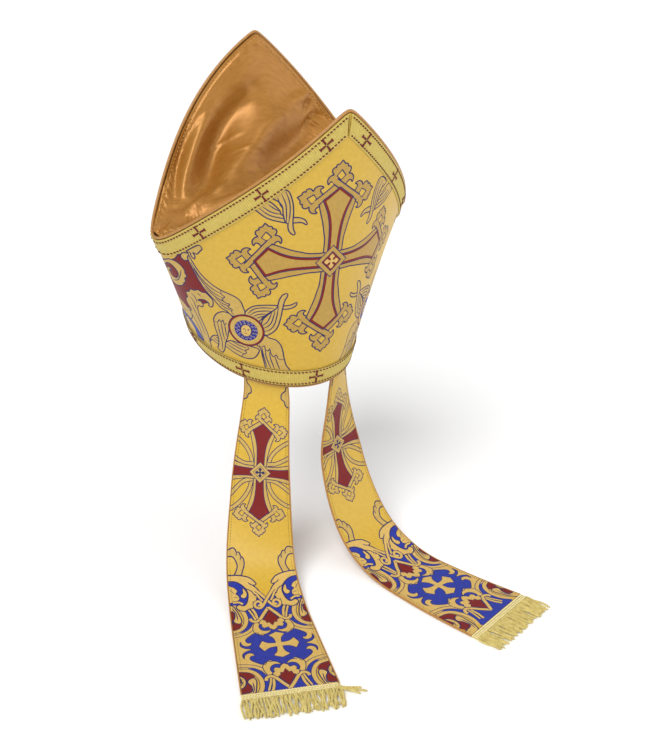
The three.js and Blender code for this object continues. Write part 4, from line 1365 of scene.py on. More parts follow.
def crossed_curls() -> Drawing:
    """Two ribbons that cross at the lappet's middle and end in curls; drawn from the left one."""
    made = Drawing()
    for hand in (-1, 1):
        line = np.array([
            (9.6, 226), (5, 232), (0, 239.4), (-4.6, 247), (-9, 251), (-13.2, 248.4), (-13.4, 243.4),
            (-9.6, 240.8), (-6.6, 243.6), (-8, 247.2), (-10.2, 246.4)])
        made.put(band(line * [hand, 1] + [0.5, 0], 2.9, Cloth.PALE, 0.8, 1.4))
        rib = np.array([(10, 230), (7.4, 236), (4.6, 241)])
        made.put(band(rib * [hand, 1] + [0.5, 0], 2.2, Cloth.PALE, 0.7))
    return made


def pattee() -> Drawing:
    """The gold cross in the lappet's blue field."""
    made = Drawing()
    for turn in range(4):
        petal = Drawing()
        half = [(0, 21), (6.2, 18), (8.4, 16.2), (5.6, 13.2), (3.8, 10), (3.1, 5), (2.9, 1)]
        petal.outlined(Cloth.PALE, mirrored(half), 0.7)
        made.put(petal, (0, 0), 90 * turn)
    made.fill(Cloth.PALE, [(-3.2, -3.2), (3.2, -3.2), (3.2, 3.2), (-3.2, 3.2)])
    return made


def lappet_design(hand: int) -> Drawing:
    """The design woven into a lappet; x is to the right from behind and y down from the rim.

    Args:
        hand: 1 for the wearer's left lappet, -1 for the right one, whose cut lies a little higher.

    Returns:
        The design.
    """
    made = Drawing()
    for mirror in (1, -1):
        made.put(plume([
            (-34, 0), (-24.4, 1.6), (-23.2, 6), (-18.4, 11), (-18.4, 16.6), (-21.6, 18.8), (-24, 24),
            (-34, 26)]), size=(mirror, 1))
    for line in ([(7.5, 90), (11, 79), (18, 70.5), (27, 64), (36, 60)],
                 [(7.5, 88), (16, 86.8), (24, 83), (36, 76)],
                 [(-10, 90), (-13, 80), (-19, 72), (-27, 66.4), (-36, 63)],
                 [(-10, 89), (-20, 89), (-28, 86), (-36, 82)],
                 [(7.5, 104), (10.6, 115), (17, 124), (27, 131), (36, 134)],
                 [(7.5, 105), (16, 106.2), (25, 111), (36, 119)],
                 [(-10, 104), (-12.4, 115), (-18, 125), (-26, 133.4), (-36, 140)],
                 [(-10, 105), (-20, 108.4), (-28, 116.4), (-36, 126)]):
        made.put(band(line, 3.3, Cloth.GOLD, 0.85, 2.5))
    cross = TrefoilCross(Cloth.MAROON, None).whole(Cloth.GOLD, Cloth.NAVY, (0, 2))
    made.put(cross, (-1, 97.6), 0, (0.7, 0.66))
    made.fill(Cloth.GROUND, [(-60, 214), (-20, 226), (0.5, 236), (21, 226), (61, 214), (61, 420), (-60, 420)])
    made.fill(Cloth.BLUE, about_middle([
        (0.5, 238), (-12, 228), (-22, 216), (-34, 210), (-50, 209), (-50, 241), (-30, 244), (-24, 268),
        (-12, 290), (0.5, 286)]))
    made.fill(Cloth.PALE, [(-60, 284), (61, 284), (61, 348), (-60, 348)])
    flips = (((1, 1), (0, 0)), ((-1, 1), (1, 0)), ((1, -1), (0, 632)), ((-1, -1), (1, 632)))
    lower = [(0.5, 394), (-18, 394), (-30, 388), (-24, 364), (-12, 342), (0.5, 346)]
    made.fill(Cloth.BLUE, about_middle(lower))
    for size, shift in flips:
        made.put(scroll_side(), shift, 0, size)
    for size, shift in flips[::2]:
        made.put(scroll_column(), shift, 0, size)
    for size, shift in flips[:2]:
        made.put(acanthus(), shift, 0, size)
    made.put(crossed_curls())
    made.put(pattee(), (1.5, 313))
    if hand > 0:
        return made
    return made.warped(lambda points: points + np.stack([-4 + 5 * (points[:, 1] - 97) / 215,
                                                         np.full(len(points), -7.0)], -1))


@dataclass
class HornPanels:
    """The two stiff horns in brocade, each one cut of cloth from side seam to side seam."""

    thickness: float = 2.4

    def outline(self, horn: Horn, drape: HornDrape) -> np.ndarray:
        """Flat outline of a horn's cloth, up the left side and over the peak."""
        end = FORM.side_end()
        angles = np.linspace(-end, end, 181)
        turns = horn_turn(horn, angles)
        low = FORM.rim(turns) + FORM.seam
        high = FORM.below_edge(horn, turns, FORM.seam)
        sides = np.linspace(0, 1, 41)[1:-1]
        left = low[-1] + (high[-1] - low[-1]) * sides
        right = high[0] + (low[0] - high[0]) * sides
        angle = np.concatenate([angles, np.full_like(left, end), angles[::-1], np.full_like(right, -end)])
        height = np.concatenate([low, left, high[::-1], right])
        return np.stack([drape.across(angle, height), height], -1)

    def columns(self, reach: float) -> np.ndarray:
        """Places of the upright cuts: closer together where the side is more sharply bent."""
        places = [0.0]
        while places[-1] < reach:
            share = places[-1] / reach
            places.append(places[-1] + (4.2 if share < 0.6 else 2.4))
        half = np.array(places[1:])
        return np.concatenate([-half[::-1], [0.0], half]) + 0.037

    def build(self, horn: Horn, name: str) -> bpy.types.Object:
        """Weaves, thickens and drapes one horn.

        Args:
            horn: which horn.
            name: the piece's name.

        Returns:
            The horn's brocade panel.
        """
        drape = HornDrape(horn)
        outline = self.outline(horn, drape)
        cloth = woven_cut(name, outline, horn_design(), self.columns(np.abs(outline[:, 0]).max()),
                          np.arange(15.3, 300, 14.0))
        cloth.thicken(self.thickness)
        for face in cloth.bm.faces:
            if face.normal.z < 0.5:
                face.material_index = Cloth.BACKING.value
        finishes = [FINISHES[thread].material() for thread in Cloth]
        return cloth.drape(drape.place, finishes, self.thickness)


@dataclass
class Pipings:
    """Satin-covered cords on the horns' edges and round the rim."""

    diameter: float = 3.0
    sides: int = 12
    wrinkle: float = 0.05

    def section(self, turns: np.ndarray, height: np.ndarray) -> tuple[np.ndarray, np.ndarray]:
        """Centre line and outward direction of a piping in the row frame."""
        offset = np.full_like(turns, -FORM.panel / 2)
        centre = FORM.lean(FORM.wall(turns, height, offset))
        outer = FORM.lean(FORM.wall(turns, height, offset + 1))
        return centre / MM, (outer - centre) / MM

    def roll(self, name: str, turns: np.ndarray, height: np.ndarray, ring: bool) -> bpy.types.Object:
        """Makes one piping.

        Args:
            name: the piece's name.
            turns: turns around the axis along it.
            height: its heights there.
            ring: whether it is closed.

        Returns:
            The piping.
        """
        centre, outward = self.section(turns, height)
        length = run_length(centre)
        cloth = FlatCloth(name)
        girth = math.pi * self.diameter
        cloth.strip((0, 0), (girth, length[-1]), (self.sides, len(centre) - 1))
        tangent = np.gradient(centre, axis=0)
        if ring:
            tangent[0] = tangent[-1] = centre[1] - centre[-2]
        across = unit(np.cross(unit(tangent), outward))

        def read(table: np.ndarray, at: np.ndarray) -> np.ndarray:
            """Rows of a table at lengths along the cord."""
            return np.stack([np.interp(at, length, table[:, i]) for i in range(3)], -1)

        def place(flat: np.ndarray) -> np.ndarray:
            """Rolls the flat strip round the cord."""
            turn, along = flat[:, 0] / girth * math.tau, flat[:, 1]
            ripple = np.sin(along * 2.1 + turn * 2) * np.sin(along * 0.37)
            if ring:
                ripple = np.where((along < 1) | (along > length[-1] - 1), 0, ripple)
            radius = (self.diameter / 2 + self.wrinkle * ripple)[:, None]
            way = read(outward, along) * np.cos(turn)[:, None] + read(across, along) * np.sin(turn)[:, None]
            return (read(centre, along) + way * radius) * MM

        piece = cloth.drape(place, [BRONZE_SATIN.material()], 0.0, 180)
        weld(piece, 2e-6)
        return piece

    def build(self) -> dict[str, bpy.types.Object]:
        """Makes the three pipings by name."""
        made = {}
        share = np.linspace(-1, 1, 301)
        angles = FORM.side_end() * np.sign(share) * np.abs(share) ** 1.2
        for horn, name in ((Horn.FRONT, "front_piping"), (Horn.BACK, "back_piping")):
            turns = horn_turn(horn, angles)
            height = FORM.below_edge(horn, turns, self.diameter / 2)
            made[name] = self.roll(f"{name}_satin", turns, height, False)
        turns = np.linspace(-np.pi, np.pi, 481)
        made["rim_piping"] = self.roll("rim_piping_satin", turns, FORM.rim(turns) + self.diameter / 2, True)
        return made


def weld(piece: bpy.types.Object, distance: float) -> None:
    """Welds a piece's seams, closes its open ends and turns its faces outwards."""
    bm = bmesh.new()
    bm.from_mesh(piece.data)
    bmesh.ops.remove_doubles(bm, verts=bm.verts[:], dist=distance)
    rims = [edge for edge in bm.edges if edge.is_boundary]
    if rims:
        bmesh.ops.holes_fill(bm, edges=rims)
    bmesh.ops.recalc_face_normals(bm, faces=bm.faces[:])
    bm.to_mesh(piece.data)
    bm.free()
    face_outwards(piece.data)


@dataclass
class Galloons:
    """Woven braid with fine ribs, dark edge stitches and small maroon crosses."""

    width: float = 18.8
    lowest: float = 0.1
    height: float = 1.15
    rib_pitch: float = 2.2
    rib_height: float = 0.17
    stitch_pitch: float = 3.8
    cross_pitch: float = 76.0
    cross_margin: float = 9.0
    first_cross: float = 3.0
    peak_to_cross: float = 28.0
    stitch_inset: float = 2.4
    shadow_seam_inset: float = 0.15

    def band(self, name: str, start: float, end: float, base: float) -> FlatCloth:
        """Flat ribbed band from one length to another, from a height up."""
        cloth = FlatCloth(name)
        steps = max(4, int(round((end - start) / self.rib_pitch)) * 4)
        cloth.strip((start, base), (end, base + self.width), (steps, 8))

        def rib(spots: np.ndarray) -> np.ndarray:
            """Raises the ribs, the two selvedges and the stitched lines beside them."""
            moved = spots.copy()
            share = (spots[:, 1] - base) / self.width
            lines = np.array([0, 0.06, 0.12, 0.19, 0.5, 0.81, 0.88, 0.94, 1.0])
            moved[:, 1] = base + self.width * lines[np.rint(share * 8).astype(int)]
            edge = np.minimum(moved[:, 1] - base, base + self.width - moved[:, 1])
            rise = np.where(edge < 0.5, -0.25, np.where(edge < 1.6, 0.12, np.where(edge < 2.7, -0.1, 0.0)))
            ribs = self.rib_height * np.sin(spots[:, 0] * math.tau / self.rib_pitch)
            moved[:, 2] = self.height + rise + ribs * np.where(edge < 0.5, 0.3, 1)
            return moved

        cloth.reshape(rib)
        return cloth

    def sink_underside(self, cloth: FlatCloth) -> None:
        """Gives a band its walls and a level underside."""
        made = bmesh.ops.extrude_face_region(cloth.bm, geom=cloth.bm.faces[:], use_keep_orig=True)
        for item in made["geom"]:
            if isinstance(item, bmesh.types.BMVert):
                item.co.z = self.lowest

    def stitches(self, bm: bmesh.types.BMesh, start: float, end: float, base: float) -> None:
        """Adds the dark stitches along both edges of a band, and its two seams: brown lines at its very
        edges, partly seam and partly painted shadow of the gap beside it.
        """
        for row in (self.stitch_inset, self.width - self.stitch_inset):
            place = start + self.stitch_pitch / 2
            while place < end - 1.2:
                line = np.array([(place + step, base + row + 0.3 * step, self.height + 0.34)
                                 for step in (-1.35, -1.0, 0, 1.0, 1.35)])
                add_roll(bm, line, 0.85 * rounded(5), 6, 0, 0.55)
                place += self.stitch_pitch
        # Brown lines at the band's edges: partly a seam, partly painted shadow of the gap between the band
        # and its neighbours.
        for row in (self.shadow_seam_inset, self.width - self.shadow_seam_inset):
            count = int((end - start) / 4.0) + 2
            line = np.stack([np.linspace(start + 0.3, end - 0.3, count), np.full(count, base + row),
                             np.full(count, self.height - 0.12)], -1)
            add_roll(bm, line, 0.34 * rounded(count), 5, 2)

    def cross(self, bm: bmesh.types.BMesh, x: float, y: float) -> None:
        """Adds one embroidered cross: arms of laid threads with flared ends round a bare middle."""
        for turn in range(4):
            cos, sin = math.cos(turn * math.pi / 2), math.sin(turn * math.pi / 2)
            threads = [[(0.5, side), (7.2, side)] for side in (-0.5, 0.0, 0.5)]
            threads += [[(5.9, side * 0.3), (8.0, side)] for side in (-1.6, -1.1, -0.55, 0.55, 1.1, 1.6)]
            for ends in threads:
                line = np.linspace(ends[0], ends[1], 9)
                spots = np.stack([x + line[:, 0] * cos - line[:, 1] * sin,
                                  y + line[:, 0] * sin + line[:, 1] * cos,
                                  np.full(9, self.height + 0.42)], -1)
                add_roll(bm, spots, 0.45 * rounded(9), 5, 1, 0.7)

    def trim(self, name: str, place: Placer, start: float, end: float, base: float,
             crosses: Sequence[float], clip: Callable[[np.ndarray], np.ndarray] | None = None,
             join: np.ndarray | None = None) -> bpy.types.Object:
        """Stitches and crosses of one band as a draped piece.

        Args:
            name: the piece's name.
            place: drapes the band.
            start: where the band starts.
            end: where it ends.
            base: height of its lower edge.
            crosses: where its crosses stand.
            clip: tells which places are on the band.
            join: the line along which it is sewn to the next band, if it is.

        Returns:
            The stitches and crosses.
        """
        bm = bmesh.new()
        self.stitches(bm, start, end, base)
        for x in crosses:
            self.cross(bm, x, base + self.width / 2)
        if clip is not None:
            spots = clip(np.array([vert.co[:] for vert in bm.verts]))
            gone = [vert for vert, stays in zip(bm.verts, spots) if not stays]
            bmesh.ops.delete(bm, geom=island_of(gone), context="VERTS")
        if join is not None:
            add_roll(bm, join, 0.45 * rounded(len(join)), 6, 2)
        close_rolls(bm)
        piece = mesh_object(name, bm)
        dress(piece, [finish.material() for finish in (EDGE_THREAD, CROSS_THREAD, SEAM_AND_SHADOW_THREAD)], place)
        return piece

    def base(self) -> tuple[bpy.types.Object, bpy.types.Object]:
        """The galloon round the base, and its stitches and crosses."""
        drape = RimDrape()
        low, high = drape.lengths[0], drape.lengths[-1]
        cloth = self.band("base_galloon_braid", low, high, FORM.seam)
        self.sink_underside(cloth)
        ends = [face for face in cloth.bm.faces if abs(face.normal.x) > 0.9 and
                min(abs(face.calc_center_median().x - low), abs(face.calc_center_median().x - high)) < 0.01]
        bmesh.ops.delete(cloth.bm, geom=ends, context="FACES")
        band = cloth.drape(drape.place, [BRAID.material()], 0.5)
        weld(band, 2e-6)
        pitch = (high - low) / round((high - low) / self.cross_pitch)
        spots = [self.first_cross + pitch * step for step in range(-4, 5)]
        crosses = [x for x in spots if low + self.cross_margin < x < high - self.cross_margin]
        return band, self.trim("base_galloon_stitches", drape.place, low, high, FORM.seam, crosses)

    def edge(self, horn: Horn, hand: int, name: str) -> tuple[bpy.types.Object, bpy.types.Object]:
        """The galloon along half of a horn's edge, mitred at the peak, and its stitches."""
        drape = EdgeDrape(horn)
        reach = drape.reach
        top, bottom = -FORM.seam, -FORM.seam - self.width

        def place(flat: np.ndarray) -> np.ndarray:
            """Lays a half band, whose x runs from the peak and y up from its lower edge."""
            spots = np.stack([flat[:, 0] * hand, -flat[:, 1], flat[:, 2]], -1)
            return drape.place(spots)

        def mitre(y: float) -> float:
            """Length at which a level of the band crosses the middle of the horn."""
            xs = np.linspace(0, 60, 601)
            turn, _ = drape.spot(np.stack([xs * hand, np.full_like(xs, -y), xs * 0], -1), True)
            off = np.sin(turn) * hand
            return float(np.interp(0.0015, off, xs))

        slope = (mitre(bottom) - mitre(top)) / (top - bottom)
        foot = mitre(top)
        cloth = self.band(f"{name}_braid", foot - 1, reach, bottom)
        cut = Vector((foot + 0.15, top, 0))
        bmesh.ops.bisect_plane(cloth.bm, geom=cloth.bm.verts[:] + cloth.bm.edges[:] + cloth.bm.faces[:],
                               dist=1e-4, plane_co=cut, plane_no=Vector((-1, -slope, 0)), clear_outer=True)
        self.sink_underside(cloth)
        bmesh.ops.recalc_face_normals(cloth.bm, faces=cloth.bm.faces[:])
        band = cloth.drape(place, [BRAID.material()], 0.5)

        def stays(spots: np.ndarray) -> np.ndarray:
            """Whether places are on the band's side of the mitre."""
            return spots[:, 0] > foot + 0.8 + slope * (top - spots[:, 1])

        centre = foot + slope * self.width / 2
        spots = [centre + self.peak_to_cross + self.cross_pitch * step for step in range(4)]
        crosses = [x for x in spots if x < reach - self.cross_margin]
        levels = np.linspace(bottom + 0.2, top - 0.2, 8)
        join = np.stack([[mitre(y) - 0.3 for y in levels], levels, np.full(8, self.height - 0.1)], -1)
        trim = self.trim(f"{name}_stitches", place, foot, reach, bottom, crosses, stays,
                         join if hand > 0 else None)
        return band, trim


def island_of(verts: Sequence[bmesh.types.BMVert]) -> list[bmesh.types.BMVert]:
    """All vertices joined to any of these."""
    seen = set(verts)
    open_ends = list(verts)
    while open_ends:
        for edge in open_ends.pop().link_edges:
            for vert in edge.verts:
                if vert not in seen:
                    seen.add(vert)
                    open_ends.append(vert)
    return list(seen)


@dataclass(frozen=True)
class Fold:
    """A fold of the satin crown along a line of places (share across, share over), millimetres."""

    rise: float
    width: float
    line: tuple[tuple[float, float], ...]


LINING_FOLDS = (
    Fold(-13.0, 12.0, ((0.02, -0.8), (0.13, -0.72), (0.2, -0.62), (0.27, -0.48), (0.34, -0.33),
                       (0.5, -0.25))),
    Fold(-8.0, 7.0, ((0.29, -0.93), (0.38, -0.9), (0.47, -0.82), (0.53, -0.68), (0.62, -0.35))),
    Fold(8.0, 9.0, ((0.2, -0.87), (0.31, -0.81), (0.43, -0.65), (0.55, -0.36))),
    Fold(12.0, 14.0, ((-0.1, -0.68), (0.0, -0.56), (0.08, -0.4), (0.18, -0.24), (0.28, -0.12))),
    Fold(-16.0, 15.0, ((-0.3, -0.86), (-0.22, -0.64), (-0.13, -0.46), (-0.03, -0.3), (0.08, -0.12))),
    Fold(-4.5, 3.5, ((-0.36, -0.97), (-0.28, -0.85), (-0.2, -0.66))),
    Fold(4.5, 5.5, ((-0.27, -0.98), (-0.2, -0.88), (-0.13, -0.78))),
    Fold(-4.0, 4.0, ((-0.26, -0.98), (-0.24, -0.89), (-0.21, -0.8))),
    Fold(1.6, 1.9, ((0.25, -0.63), (0.17, -0.6), (0.09, -0.58))),
    Fold(1.6, 2.2, ((0.2, -0.49), (0.1, -0.42), (0.02, -0.36))),
    Fold(-7.0, 7.0, ((0.28, -0.06), (0.18, 0.02), (0.08, 0.1))),
    Fold(6.0, 7.0, ((0.36, 0.03), (0.26, -0.04), (0.16, -0.02))),
    Fold(7.0, 8.0, ((0.38, -0.12), (0.44, 0.05), (0.6, 0.15))),
    Fold(3.0, 12.0, ((0.1, -0.84), (0.05, -0.92), (0.01, -0.97))),
    Fold(2.5, 6.0, ((-0.12, -0.7), (-0.05, -0.63), (0.02, -0.56))),
    Fold(4.5, 12.0, ((0.9, -0.62), (0.93, -0.1), (0.86, 0.45))),
    Fold(1.5, 12.0, ((-0.9, -0.5), (-0.93, 0.0), (-0.86, 0.5))),
    Fold(-9.0, 12.0, ((-0.4, -0.5), (-0.3, -0.1), (-0.05, 0.3), (0.2, 0.6))),
    Fold(8.0, 12.0, ((-0.55, -0.3), (-0.45, 0.1), (-0.2, 0.5), (0.0, 0.75))),
    Fold(-8.0, 10.0, ((0.65, 0.3), (0.4, 0.45), (0.25, 0.8))),
    Fold(7.0, 10.0, ((0.5, 0.25), (0.25, 0.4), (0.08, 0.75))),
    Fold(-8.0, 9.0, ((-0.2, 0.4), (-0.4, 0.55), (-0.65, 0.5))),
)


@dataclass
class CrownSatin:
    """The satin crown that sinks between the horns, with its puckered seam and stitches."""

    thickness: float = 1.0
    seam_depth: float = 2.6
    centre_height: float = 188.0
    side_height: float = 146.0
    end_deg: float = 78.0
    trough_power: float = 2.3
    cells: tuple[int, int] = (216, 160)
    half_size: tuple[int, int] = (140, 170)
    seam_width: float = 12.5
    stitch_depth: float = 4.2
    pucker: float = 0.9
    pucker_pitch: float = 9.5
    stitch_pitch: float = 4.2
    clearance: float = 1.3
    smoothings: int = 150

    def hung(self, across: np.ndarray, over: np.ndarray) -> np.ndarray:
        """Places of the smooth sheet, in millimetres, leant back with the crown."""
        angle = across * math.radians(self.end_deg)
        inside = np.full_like(angle, -FORM.panel - 0.3 - self.thickness)
        ends = []
        for horn in (Horn.FRONT, Horn.BACK):
            turn = horn_turn(horn, angle)
            ends.append(FORM.wall(turn, FORM.below_edge(horn, turn, self.seam_depth), inside))
        share = ((over + 1) / 2)[:, None]
        point = ends[0] * (1 - share) + ends[1] * share
        half = FORM.rim_width / 2 * parabola(FORM.widths, np.array(FORM.valley_height / FORM.horn_height))
        reach = point[:, 0] / half
        spine = self.side_height + (self.centre_height - self.side_height) * (1 - reach ** 2)
        edge = np.where(over < 0, ends[0][:, 2], ends[1][:, 2])
        sag = np.maximum(edge - spine, 0)
        point[:, 2] = edge - sag * (1 - np.abs(over) ** self.trough_power)
        return FORM.lean(point) / MM

    def levels(self) -> tuple[np.ndarray, np.ndarray]:
        """Shares across and over of the sheet's columns and rows, closer at the two seams."""
        share = np.linspace(-1, 1, self.cells[1] + 1)
        return np.linspace(-1, 1, self.cells[0] + 1), share * (1.6 - 0.6 * np.abs(share))

    def folded(self, walls: Sequence[bpy.types.Object]) -> np.ndarray:
        """The sheet's middle as a grid of points, rows over and columns across, in millimetres."""
        across, over = self.levels()
        wide, deep = np.meshgrid(across, over)
        grid = self.hung(wide.ravel(), deep.ravel()).reshape(len(over), len(across), 3)
        for _ in range(self.smoothings):
            near = grid[:-2, 1:-1] + grid[2:, 1:-1] + grid[1:-1, :-2] + grid[1:-1, 2:]
            grid = grid.copy()
            grid[1:-1, 1:-1] = 0.5 * grid[1:-1, 1:-1] + 0.125 * near
        normal = self.rising(grid)
        rise = np.zeros(wide.shape)
        for fold in LINING_FOLDS:
            knots = np.array(fold.line)
            row = np.interp(knots[:, 1], over, np.arange(len(over))).round().astype(int)
            column = np.interp(knots[:, 0], across, np.arange(len(across))).round().astype(int)
            path = curve(grid[row, column], 4.0)
            share = np.linspace(0, 1, len(path))
            away = np.linalg.norm(grid[:, :, None, :] - path, axis=3)
            nearest = away.argmin(axis=2)
            height = fold.rise * np.sin(np.pi * np.clip(share[nearest], 0.04, 0.96)) ** 0.6
            rise += height * np.exp(-(away.min(axis=2) / fold.width) ** 2)
        rise += self.puckers(grid)
        for wall in walls:
            tree = BVHTree.FromPolygons([vert.co for vert in wall.data.vertices],
                                        [face.vertices for face in wall.data.polygons])
            for index in np.ndindex(*rise.shape):
                if rise[index] < -0.2:
                    room = tree.find_nearest(Vector(grid[index] * MM))[3] / MM
                    rise[index] = max(rise[index], -max(room - self.clearance, 0))
        return grid + normal * rise[:, :, None]

    def rising(self, grid: np.ndarray) -> np.ndarray:
        """Directions square to a grid, on the side that looks up out of the crown."""
        normal = unit(np.cross(np.gradient(grid, axis=0), np.gradient(grid, axis=1)), SOFT_ZERO)
        middle = normal[grid.shape[0] // 2, grid.shape[1] // 2]
        return normal if middle[2] > 0 else -normal

    def depths(self, lines: np.ndarray) -> np.ndarray:
        """Length down the sheet from its first row, at each row and column."""
        steps = np.linalg.norm(np.diff(lines, axis=0), axis=2)
        return np.concatenate([np.zeros((1, lines.shape[1])), np.cumsum(steps, axis=0)])

    def puckers(self, grid: np.ndarray) -> np.ndarray:
        """Small gathers between the horns' edges and the seam line below them."""
        rise = np.zeros(grid.shape[:2])
        for rows in (slice(None), slice(None, None, -1)):
            down = self.depths(grid[rows])
            along = run_length(grid[rows][3])
            bell = np.exp(-((down - self.seam_width * 0.62) / (self.seam_width * 0.4)) ** 2)
            wander = along + 3.0 * np.sin(along / 23.0) + 2.0 * np.sin(along / 9.1 + 1)
            strength = 0.55 + 0.45 * np.sin(along / 31.0 + 0.6)
            wave = np.sin(wander * math.tau / self.pucker_pitch + down / 5) * strength
            groove = -0.8 * np.exp(-((down - self.stitch_depth) / 1.4) ** 2)
            rise[rows] += bell * (self.pucker * wave + 0.7) + groove
        rise[0] = rise[-1] = 0
        rise[:, 0] = rise[:, -1] = 0
        return rise

    def stitches(self, grid: np.ndarray, name: str) -> bpy.types.Object:
        """A row of small stitches along the seam below each horn's edge."""
        bm = bmesh.new()
        normal = self.rising(grid)
        for rows in (slice(None), slice(None, None, -1)):
            down = self.depths(grid[rows])
            spots, ups = (np.array([[np.interp(self.stitch_depth, down[:, column], table[:, column, axis])
                                     for axis in range(3)] for column in range(grid.shape[1])])
                          for table in (grid[rows], normal[rows]))
            along = run_length(spots)
            place = self.stitch_pitch
            while place < along[-1] - self.stitch_pitch:
                steps = place + np.linspace(-1.1, 1.1, 5)
                line = np.stack([np.interp(steps, along, spots[:, axis]) for axis in range(3)], -1)
                lift = np.stack([np.interp(steps, along, ups[:, axis]) for axis in range(3)], -1)
                add_roll(bm, line + lift * 0.8, 0.46 * rounded(5), 5, 0)
                place += self.stitch_pitch
        close_rolls(bm)
        bmesh.ops.scale(bm, vec=(MM, MM, MM), verts=bm.verts[:])
        piece = mesh_object(name, bm)
        dress(piece, [SEWING_THREAD.material()])
        return piece

    def build(self, walls: Sequence[bpy.types.Object]) -> tuple[bpy.types.Object, bpy.types.Object, float]:
        """Makes the satin crown.

        Args:
            walls: the horns' panels, which it stays clear of.

        Returns:
            The piece, its stitches and its area on one side, in square metres.
        """
        cloth = FlatCloth("crown_satin")
        cells, (half_x, half_y) = self.cells, self.half_size
        cloth.strip((-half_x, -half_y), (half_x, half_y), cells)
        grid = self.folded(walls)
        normal = self.rising(grid)
        upper = (grid + normal * self.thickness / 2).reshape(-1, 3)
        lower = (grid - normal * self.thickness / 2).reshape(-1, 3)
        cloth.thicken(self.thickness)

        def place(flat: np.ndarray) -> np.ndarray:
            """Puts the upper and the lower sheet in their places."""
            column = np.rint((flat[:, 0] / (2 * half_x) + 0.5) * cells[0]).astype(int)
            row = np.rint((flat[:, 1] / (2 * half_y) + 0.5) * cells[1]).astype(int)
            index = row * (cells[0] + 1) + column
            top = (flat[:, 2] > -self.thickness / 2)[:, None]
            return np.where(top, upper[index], lower[index]) * MM

        piece = cloth.drape(place, [LINING_SATIN.material()], self.thickness, 60)
        area = sum(face.area for face in piece.data.polygons) / 2
        return piece, self.stitches(grid, "crown_satin_stitches"), area


@dataclass
class Lappet:
    """One lappet: brocade face, satin back with a narrow binding, and stitches."""

    lay: LappetLay
    rows: int = 128
    stitch_pitch: float = 2.9
    stitch_inset: float = 2.5

    def __post_init__(self) -> None:
        """Hangs the lappet's drape."""
        self.drape = LappetDrape(self.lay)

    def face(self) -> bpy.types.Object:
        """The brocade face."""
        downs = np.linspace(-LAPPET.tuck, LAPPET.length, 80)
        half = LAPPET.half_width(downs)
        outline = np.vstack([np.stack([half, downs], -1), np.stack([-half[::-1], downs[::-1]], -1)])
        cloth = woven_cut(f"lappet_brocade_{self.lay.name}", outline, lappet_design(self.lay.hand),
                          np.arange(-45.02, 46, 6.4), np.arange(-9.3, 381, 5.0))
        cloth.reshape(lambda spots: spots + [0, 0, LAPPET.thickness / 2])
        cloth.thicken(LAPPET.layer)
        for face in cloth.bm.faces:
            if face.normal.z < 0.5:
                face.material_index = Cloth.BACKING.value
        finishes = [FINISHES[thread].material() for thread in Cloth]
        return cloth.drape(self.drape.place, finishes, LAPPET.layer)

    def back(self) -> bpy.types.Object:
        """The satin back, turned up round the face as a rounded binding."""
        cloth = FlatCloth(f"lappet_binding_{self.lay.name}")
        top, low = LAPPET.thickness / 2, -LAPPET.thickness / 2
        inner_top = low + LAPPET.layer
        profile = [
            (-1, 0.35, top + 0.1), (-1, 0.9, top + 0.25), (-1, 1.5, top), (-1, 1.6, top - 0.7),
            (-1, 1.6, low + 0.5), (-1, 1.2, low), (-0.5, 0, low), (0, 0, low), (0.5, 0, low),
            (1, 1.2, low), (1, 1.6, low + 0.5), (1, 1.6, top - 0.7), (1, 1.5, top),
            (1, 0.9, top + 0.25), (1, 0.35, top + 0.1), (1, 0.3, inner_top), (0.5, 0, inner_top),
            (0, 0, inner_top), (-0.5, 0, inner_top), (-1, 0.3, inner_top), (-1, 0.35, top + 0.1)]
        cells = len(profile) - 1
        cloth.strip((0, -LAPPET.tuck), (cells, LAPPET.length), (cells, self.rows))
        shares = np.array(profile)

        def place(flat: np.ndarray) -> np.ndarray:
            """Bends the strip round the back and both edges."""
            spot = shares[np.rint(flat[:, 0]).astype(int)]
            half = LAPPET.half_width(flat[:, 1])
            x = spot[:, 0] * half + np.sign(spot[:, 0]) * spot[:, 1] * (np.abs(spot[:, 0]) > 0.9)
            return self.drape.place(np.stack([x, flat[:, 1], spot[:, 2]], -1))

        piece = cloth.drape(place, [BINDING_SATIN.material()], 0.0, 60)
        weld(piece, 1e-6)
        return piece

    def stitches(self) -> bpy.types.Object:
        """The running stitches beside the binding, down both edges."""
        bm = bmesh.new()
        for side in (-1, 1):
            for y in np.arange(4.0, LAPPET.length - 3, self.stitch_pitch):
                steps = y + np.linspace(-0.95, 0.95, 5)
                x = side * (LAPPET.half_width(steps) - self.stitch_inset)
                line = np.stack([x, steps, np.full(5, LAPPET.thickness / 2 + 0.08)], -1)
                add_roll(bm, line, 0.3 * rounded(5), 5, 0)
        close_rolls(bm)
        piece = mesh_object(f"lappet_stitches_{self.lay.name}", bm)
        dress(piece, [SEAM_AND_SHADOW_THREAD.material()], self.drape.place)
        return piece

    def area(self) -> float:
        """Flat area of the lappet's cloth, in square metres."""
        downs = np.linspace(-LAPPET.tuck, LAPPET.length, 400)
        width = 2 * float(LAPPET.half_width(downs).mean()) * self.lay.narrowed
        return width * (LAPPET.length + LAPPET.tuck) * MM * MM


def yarn_path(start: np.ndarray, way: np.ndarray, length: float, rng: np.random.Generator) -> np.ndarray:
    """Centre line of a hanging yarn with a little sway, in flat places."""
    t = np.linspace(0, 1, 22)
    sway = rng.uniform(-1, 1, 4)
    bow, wave = np.sin(math.pi * t), np.sin(math.tau * t)
    side = length * (way[0] * t + 0.08 * sway[0] * bow + 0.04 * sway[1] * wave)
    down = length * (way[1] * t)
    rise = 0.6 * sway[2] * bow
    return start + np.stack([side, down, rise], -1)


